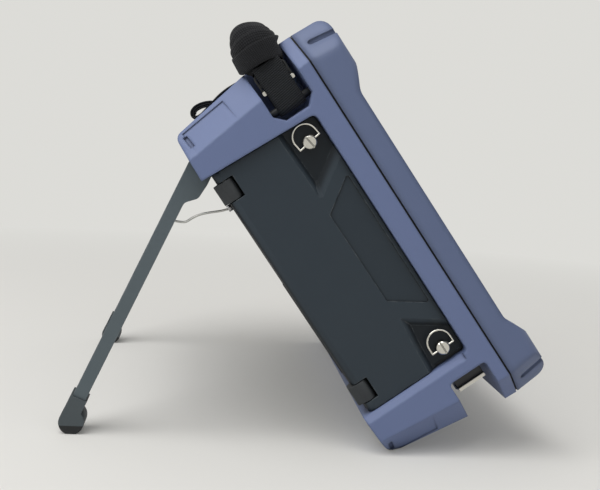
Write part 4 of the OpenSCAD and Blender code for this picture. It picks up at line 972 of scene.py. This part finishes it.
@dataclass
class CarryStrap:
    """Carry strap: looped on the left bar and wound into a roll, its short end on the right.

    Lengths are millimetres in the case's frame, and angles are degrees.
    """

    webbing: Ribbon = Ribbon(15.0, 1.3)
    bar_x: float = 136.0
    bar_z: float = 190.7
    turn_r: float = 2.95
    turn_steps: int = 8
    pocket_mid: float = 16.8
    slider_z: float = 205.7
    slider_half: float = 3.0
    ply_in: float = 0.2
    ply_out: float = 2.75
    inner_ply: tuple[Pair, ...] = ((-2.0, 4.4), (-1.4, 2.2), (-1.6, -3.4))
    inner_foot: Pair = (-2.5, 4.0)
    outer_foot: Pair = (2.95, 4.5)
    outer_lean: float = 0.15
    loop_top: float = 213.8
    route_steps: int = 5
    roll_mid: Triple = (-130.0, 19.0, 206.7)
    roll_rows: int = 14
    roll_steps: int = 56
    roll_ply: float = 0.7
    roll_edge: float = 0.25
    roll_neck: float = 10.3
    roll_swell: Pair = (1.2, 3.4)
    roll_r: float = 12.9
    roll_step: float = 1.3
    roll_flare: float = 3.4
    roll_flare_start: float = 0.3
    roll_sway: Pair = (0.3, 0.2)
    roll_wave: float = 0.4
    roll_phases: Pair = (0.7, 0.4)
    roll_fan: float = 0.02
    roll_rise: float = 3.0
    roll_climb: float = 3.7
    roll_turns: float = 4.7
    roll_nod: float = -2.0
    roll_tip: float = 17.0
    roll_lean: float = 10.0
    roll_start: float = 6.2
    roll_cut: float = 0.36
    pocket_walls: Pair = (6.0, 27.6)
    front_mouth: Pair = (218.2, 221.6)
    rear_mouth: Pair = (213.9, 216.2)
    tab_x: float = 128.0
    tab_z: float = 218.6
    tab_start: float = 11.8
    tab_ply: float = 1.5
    tab_drop: float = 1.6
    tab_steps: int = 6
    tab_route: tuple[Pair, ...] = (
        (20.0, 217.2), (28.3, 217.6), (36.0, 217.0), (43.5, 215.4), (50.0, 213.8), (56.0, 212.6),
        (59.8, 213.1), (61.2, 215.4), (60.2, 218.1), (57.0, 219.6), (53.0, 219.5), (49.4, 218.6),
        (46.2, 217.2), (44.2, 216.0))
    tab_plies: tuple[tuple[float, int], ...] = ((-0.51, 0), (0.51, 0), (1.5, 46))

    def build(self) -> None:
        """Builds the loop, the roll and the short end."""
        self.build_loop()
        self.build_roll()
        self.build_tab()

    def dress(self) -> None:
        """Finishes the bars, sliders and clips that hold the strap."""
        for side in ("left", "right"):
            dress(f"strap_bar_{side}", Palette.strap_black, Edge.FINE)
            dress(f"strap_slider_{side}", Palette.strap_black, Edge.SMALL)
            dress(f"strap_clip_{side}", Palette.nickel, Edge.SMALL)

    def loop_route(self, top: float, sign: float) -> list[Vector]:
        """Route of the webbing round a bar and up past its slider.

        Args:
            top: Height where the outer ply ends.
            sign: -1 for the left pocket, 1 for the right one.

        Returns:
            Points of the route.
        """
        inner, outer = self.bar_x - self.ply_in, self.bar_x + self.ply_out
        points = [(inner + x, self.slider_z + z) for x, z in self.inner_ply]
        points.append((inner + self.inner_foot[0], self.bar_z + self.inner_foot[1]))
        for k in range(self.turn_steps + 1):
            a = math.pi + math.pi * k / self.turn_steps
            points.append((self.bar_x + self.turn_r * math.cos(a),
                           self.bar_z + self.turn_r * math.sin(a)))
        points += [(self.bar_x + self.outer_foot[0], self.bar_z + self.outer_foot[1]),
                   (outer, self.slider_z - self.slider_half),
                   (outer, self.slider_z + self.slider_half), (outer - self.outer_lean, top)]
        places = [Vector((sign * x, self.pocket_mid, z)) for x, z in points]
        return smooth_route(places, self.route_steps)

    def build_loop(self) -> None:
        """Builds the webbing that carries the roll."""
        route = self.loop_route(self.loop_top, -1.0)
        mesh = self.webbing.mesh("strap_webbing", route, Vector((0, 1, 0)))
        piece = new_piece("strap_webbing", mesh, Palette.webbing)
        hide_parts("strap_loop")
        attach(piece, Body.CASE.value)

    def roll_shape(self, h: float) -> float:
        """Radius of the roll at a height above its base."""
        return self.roll_neck + (self.roll_r - self.roll_neck) * ease(h, *self.roll_swell)

    def squeeze(self, place: Vector) -> Vector:
        """Keeps a point of the roll clear of the pocket's walls.

        Args:
            place: Point on the roll, from the middle of its base.

        Returns:
            The point in the case's frame, drawn in below the pocket's mouth.
        """
        x, y, z = place + Vector(self.roll_mid)
        low, high = self.rear_mouth if place.y > 0 else self.front_mouth
        free = ease(z, low, high - low)
        held = min(max(y, self.pocket_walls[0]), self.pocket_walls[1])
        tight = self.roll_neck / self.roll_r
        if place.x > 0:
            x = self.roll_mid[0] + place.x * (tight + (1 - tight) * free)
        return Vector((x, held + (y - held) * free, z))

    def roll_ring(self, turn: float, heights: list[float]) -> list[Vector]:
        """Places one cross-section of the wound webbing.

        Args:
            turn: Turns from the outer end.
            heights: Places across the webbing, from its lower edge up.

        Returns:
            Points of the section, up the outer face and down the inner one.
        """
        a, width = 2 * math.pi * turn, self.webbing.width
        slow, fast = self.roll_sway
        sway_phase, wave_phase = self.roll_phases
        sway = slow * math.sin(2 * a + sway_phase + turn) + fast * math.sin(3 * a)
        fan = 1 + self.roll_fan * math.sin(a)
        climb = min(turn, self.roll_climb)
        lift = self.roll_rise * climb * fan + self.roll_wave * math.sin(2 * a + wave_phase + turn)
        tip = Matrix.Rotation(math.radians(self.roll_nod + self.roll_tip * climb), 3, "Y")
        lean = Matrix.Rotation(math.radians(self.roll_lean), 3, "X")
        middle = Vector((0, 0, width / 2 + lift))
        low = self.roll_start * max(1 - turn, 0.0) ** self.roll_cut
        flared = min(turn + self.roll_flare_start, 1.0)
        ring = []
        for depth, sign, order in ((0.0, 1, heights), (self.roll_ply, -1, heights[::-1])):
            for h in order:
                tuck = self.roll_edge * abs(2 * h / width - 1) ** EDGE_POWER * sign
                up = low + (width - low) * h / width
                lip = self.roll_flare * (up / width - 0.5) * flared
                r = self.roll_shape(up) - depth - tuck - self.roll_step * turn
                r = r + sway * up / width + lip
                place = tip @ Vector((r * math.cos(a), r * math.sin(a), up - width / 2)) + middle
                ring.append(self.squeeze(lean @ place))
        return ring

    def build_roll(self) -> None:
        """Builds the wound strap as one spiral of upright webbing."""
        heights = [self.webbing.width * k / self.roll_rows for k in range(self.roll_rows + 1)]
        count = int(self.roll_turns * self.roll_steps)
        turns = [i / self.roll_steps for i in range(count + 1)]
        rings = [self.roll_ring(turn, heights) for turn in turns]
        radii = [self.roll_r - self.roll_step * turn for turn in turns[1:]]
        steps = [2 * math.pi * radius / self.roll_steps for radius in radii]
        runs = list(accumulate(steps, initial=0.0))
        mesh = loft("strap_wound", rings, runs, heights + heights[::-1])
        piece = new_piece("strap_wound", mesh, Palette.wound)
        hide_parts("strap_roll")
        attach(piece, Body.CASE.value)

    @staticmethod
    def beside(route: Sequence[Vector], shift: float) -> list[Vector]:
        """Lays a second route beside one that runs in a plane across the case.

        Args:
            route: Points of the first route.
            shift: Distance to its left, millimetres.

        Returns:
            Points of the second route.
        """
        right = Vector((1, 0, 0))
        return [place + right.cross(heading(route, i)) * shift for i, place in enumerate(route)]

    def build_tab(self) -> None:
        """Builds the short end, laid back over the top and looped at its end."""
        lead = self.loop_route(self.tab_z - self.tab_drop, 1.0)
        parts = [self.webbing.mesh("lead", lead, Vector((0, 1, 0)))]
        ply = Ribbon(self.webbing.width, self.tab_ply)
        places = [(self.tab_start, self.tab_z - self.tab_ply), *self.tab_route]
        middle = smooth_route([Vector((self.tab_x, y, z)) for y, z in places], self.tab_steps)
        for shift, first in self.tab_plies:
            curve = self.beside(middle, shift * self.tab_ply)[first:]
            parts.append(ply.mesh("run", curve, Vector((1, 0, 0))))
        bm = bmesh.new()
        for part in parts:
            bm.from_mesh(part)
            bpy.data.meshes.remove(part)
        mesh = close(bm, "strap_short_end")
        piece = new_piece("strap_short_end", mesh, Palette.webbing)
        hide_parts("strap_tab")
        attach(piece, Body.CASE.value)


@dataclass
class Stand:
    """Folding rear stand with its stay cable, in millimetres in the case's frame."""

    stay_r: float = 0.6
    strands: int = 6
    strand_faces: int = 4
    strand_depth: Pair = (0.86, 0.14)
    lay_length: float = 5.0
    stay_x: float = -118.6
    stay_start: Pair = (71.8, 162.7)
    stay_end: Pair = (97.861, 172.503)
    stay_short: float = 0.3
    stay_steps: int = 14
    bends: tuple[Pair, ...] = (
        (0.14, -0.1), (0.34, 0.4), (0.52, 0.5), (0.68, -0.4), (0.84, -1.6))

    def stay_ring(self, place: Vector, ahead: Vector, run: float) -> list[Vector]:
        """Places one twisted cross-section of the stay.

        Args:
            place: Middle of the section.
            ahead: Direction of the stay.
            run: Length from its start, millimetres.

        Returns:
            Points of the section.
        """
        u = ahead.cross(Vector((1, 0, 0))).normalized()
        v = ahead.cross(u)
        twist = 2 * math.pi * run / self.lay_length
        core, crown = self.strand_depth
        count = self.strands * self.strand_faces
        ring = []
        for k in range(count):
            a = 2 * math.pi * k / count
            r = self.stay_r * (core + crown * abs(math.cos(self.strands * (a - twist) / 2)))
            ring.append(place + u * r * math.cos(a) + v * r * math.sin(a))
        return ring

    def build(self) -> None:
        """Builds the stay as one twisted cable from the case to the leg."""
        start = Vector((self.stay_x, *self.stay_start))
        end = Vector((self.stay_x, *self.stay_end))
        points = [start] + [start.lerp(end, k) + Vector((0, 0, rise)) for k, rise in self.bends]
        points.append(end - (end - start).normalized() * self.stay_short)
        route = smooth_route(points, self.stay_steps)
        ways = [Vector((0, 1, 0)), *(heading(route, i) for i in range(1, len(route)))]
        mesh = loft("stay_cable", list(map(self.stay_ring, route, ways, lengths(route))))
        piece = new_piece("stay_cable", mesh, Palette.stay)
        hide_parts("lanyard")
        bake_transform(piece)

    def dress(self) -> None:
        """Finishes the legs, the plate, the feet and the pins."""
        for node in ("stand_leg_left", "stand_leg_right", "stand_plate"):
            dress(node, Palette.stand, Edge.SHEET)
        for node in ("stand_foot_left", "stand_foot_right"):
            dress(node, Palette.shoe, Edge.PANEL)
        dress("stand_rivets", Palette.screws, Edge.SMALL)
        dress("stand_pins", Palette.pins, Edge.SMALL)
        dress("lanyard_anchor", Palette.pins, Edge.SMALL)
        dress("lanyard_ferrule", Palette.pins, Edge.SHEET)


@dataclass
class Case:
    """Moulded two-part case with its seal, pads and screws."""

    shells: tuple[tuple[str, Finish], ...] = (("front_shell", Palette.bumper),
                                              ("rear_shell", Palette.shell))

    def dress(self) -> None:
        """Finishes the shells and what is fixed to them."""
        for node, finish in self.shells:
            dress(node, finish, Edge.SHELL)
        dress("case_gasket", Palette.seal, None)
        dress("base_pads", Palette.seal, Edge.PANEL)
        dress("case_screws", Palette.screws, Edge.SMALL)


@dataclass
class SideDoor:
    """Battery door with its hinge pins, captive screws and rings."""

    levels: tuple[str, ...] = ("upper", "lower")

    def dress(self) -> None:
        """Finishes the door and its hardware."""
        dress("battery_door", Palette.door, Edge.PANEL)
        dress("door_hinge_pins", Palette.pins, Edge.FINE)
        dress("screw_receptacles", Palette.brass, Edge.FINE)
        for level in self.levels:
            dress(f"captive_screw_{level}", Palette.nickel, Edge.SMALL)
            dress(f"ring_{level}", Palette.nickel, None)


@dataclass
class Inside:
    """Inner housing, covers, batteries, boards and fan."""

    plastics: tuple[str, ...] = ("core_housing", "rear_cover", "right_cover")

    def dress(self) -> None:
        """Finishes the housing and what it holds."""
        for node in self.plastics:
            dress(node, Palette.housing, Edge.PANEL)
        for node in ("rear_cover_screws", "right_cover_screws"):
            dress(node, Palette.screws, Edge.SMALL)
        for node in ("battery_front", "battery_rear"):
            dress(node, Palette.battery, Edge.PANEL)
        dress("battery_contacts", Palette.brass, Edge.SMALL)
        dress("main_board", Palette.board, Edge.SMALL)
        dress("rf_module", Palette.plated, Edge.SHEET)
        dress("fan_frame", Palette.fan, Edge.SHEET)
        dress("fan_rotor", Palette.fan, Edge.SMALL)


@dataclass
class FrontPanel:
    """Display, keys and power button."""

    key_count: int = 6

    def dress(self) -> None:
        """Finishes the panel and its controls."""
        dress("front_panel", Palette.panel, Edge.PANEL)
        dress("display_glass", Palette.window, Edge.SHEET)
        dress("lcd_module", Palette.panel, Edge.SMALL)
        dress("keypad_mat", Palette.seal, Edge.SMALL)
        for k in range(1, self.key_count + 1):
            dress(f"soft_key_{k}", Palette.keys, Edge.PANEL)
        dress("power_button", Palette.keys, Edge.PANEL)


@dataclass
class ConnectorBay:
    """Coaxial ports and sockets in the bottom bay."""

    ports: tuple[str, ...] = ("port_1", "port_2")

    def dress(self) -> None:
        """Finishes the connectors."""
        for node in self.ports:
            dress(node, Palette.port, Edge.SMALL)
        # The guard's black coat is painted shade for the dark inside of the bay.
        dress("bay_guard", Palette.guard, Edge.SHEET)
        dress("usb_ports", Palette.plated, Edge.FINE)
        dress("lan_jack", Palette.plated, Edge.FINE)
        dress("dc_jack", Palette.panel, Edge.SMALL)


@dataclass(frozen=True)
class Lamp:
    """A soft square lamp: place and side in metres, power in watts."""

    name: str
    place: Triple
    size: float
    power: float

    def build(self, target: Triple) -> None:
        """Builds the lamp.

        Args:
            target: Point that it is aimed at, in metres.
        """
        data = bpy.data.lights.new(self.name, "AREA")
        data.size = self.size
        data.energy = self.power
        lamp = bpy.data.objects.new(self.name, data)
        bpy.context.scene.collection.objects.link(lamp)
        lamp.location = self.place
        aim = Vector(target) - Vector(self.place)
        lamp.rotation_euler = aim.to_track_quat("-Z", "Y").to_euler()


@dataclass
class Studio:
    """Pale floor, soft light and the camera."""

    floor_r: float = 6.0
    floor_sides: int = 96
    floor_drop: float = 0.0002
    sky_tint: Colour = (1.0, 0.99, 0.97)
    sky_light: float = 0.36
    lamps: tuple[Lamp, ...] = (Lamp("key_lamp", (-0.60, 0.70, 1.47), 1.5, 25.0),
                               Lamp("back_lamp", (0.8, 0.2, 1.2), 1.2, 1.0),
                               Lamp("fill_lamp", (-1.2, -0.5, 1.0), 1.0, 1.5))
    target: Triple = (0.0, 0.0, 0.1)
    lens: float = 63.0
    sensor: float = 36.0
    nearest: float = 0.01
    eye: Triple = (-0.657, 0.05748, 0.16046)
    ahead: Triple = (0.98981, -0.0952, -0.10593)
    upward: Triple = (0.11109, 0.05069, 0.99252)

    def build(self) -> None:
        """Builds the studio."""
        self.build_floor()
        self.build_sky()
        for lamp in self.lamps:
            lamp.build(self.target)
        self.build_camera()

    def build_floor(self) -> None:
        """Builds a round floor at the height the object stands on."""
        bm = bmesh.new()
        bmesh.ops.create_circle(bm, cap_ends=True, segments=self.floor_sides, radius=self.floor_r)
        floor = new_piece("studio_floor", close(bm, "studio_floor"), Palette.floor)
        floor.location = (0.0, 0.0, -self.floor_drop)

    def build_sky(self) -> None:
        """Sets the pale background and the soft light all round."""
        world = bpy.data.worlds.new("studio")
        bpy.context.scene.world = world
        world.use_nodes = True
        sheet = NodeSheet(world.node_tree)
        light = world.node_tree.nodes["Background"]
        light.inputs["Color"].default_value = (*self.sky_tint, 1.0)
        light.inputs["Strength"].default_value = self.sky_light
        view = sheet.add("ShaderNodeBackground")
        view.inputs["Color"].default_value = (*BACKGROUND, 1.0)
        mix = sheet.add("ShaderNodeMixShader")
        sheet.join(sheet.in_view(), mix.inputs[0])
        sheet.join(light.outputs[0], mix.inputs[1])
        sheet.join(view.outputs[0], mix.inputs[2])
        sheet.join(mix.outputs[0], world.node_tree.nodes["World Output"].inputs["Surface"])

    def build_camera(self) -> None:
        """Places the camera at the photograph's viewing angle."""
        data = bpy.data.cameras.new("studio_camera")
        data.lens = self.lens
        data.sensor_width = self.sensor
        data.sensor_fit = "HORIZONTAL"
        data.clip_start = self.nearest
        camera = bpy.data.objects.new("studio_camera", data)
        bpy.context.scene.collection.objects.link(camera)
        back, up = -Vector(self.ahead), Vector(self.upward)
        right = up.cross(back).normalized()
        turn = Matrix((right, back.cross(right).normalized(), back.normalized())).transposed()
        camera.matrix_world = Matrix.Translation(self.eye) @ turn.to_4x4()
        bpy.context.scene.camera = camera


def main() -> None:
    """Builds and dresses the instrument, sub-assembly by sub-assembly."""
    logging.basicConfig(level=logging.INFO, format="%(name)s: %(message)s")
    bpy.context.scene.view_settings.view_transform = "Standard"
    studio, stand, strap = Studio(), Stand(), CarryStrap()
    steps: list[Callable[[], None]] = [
        studio.build, stand.build, stand.dress, Case().dress, SideDoor().dress, Inside().dress,
        strap.build, strap.dress, FrontPanel().dress, ConnectorBay().dress,
    ]
    for step in steps:
        step()


if __name__ == "__main__":
    main()
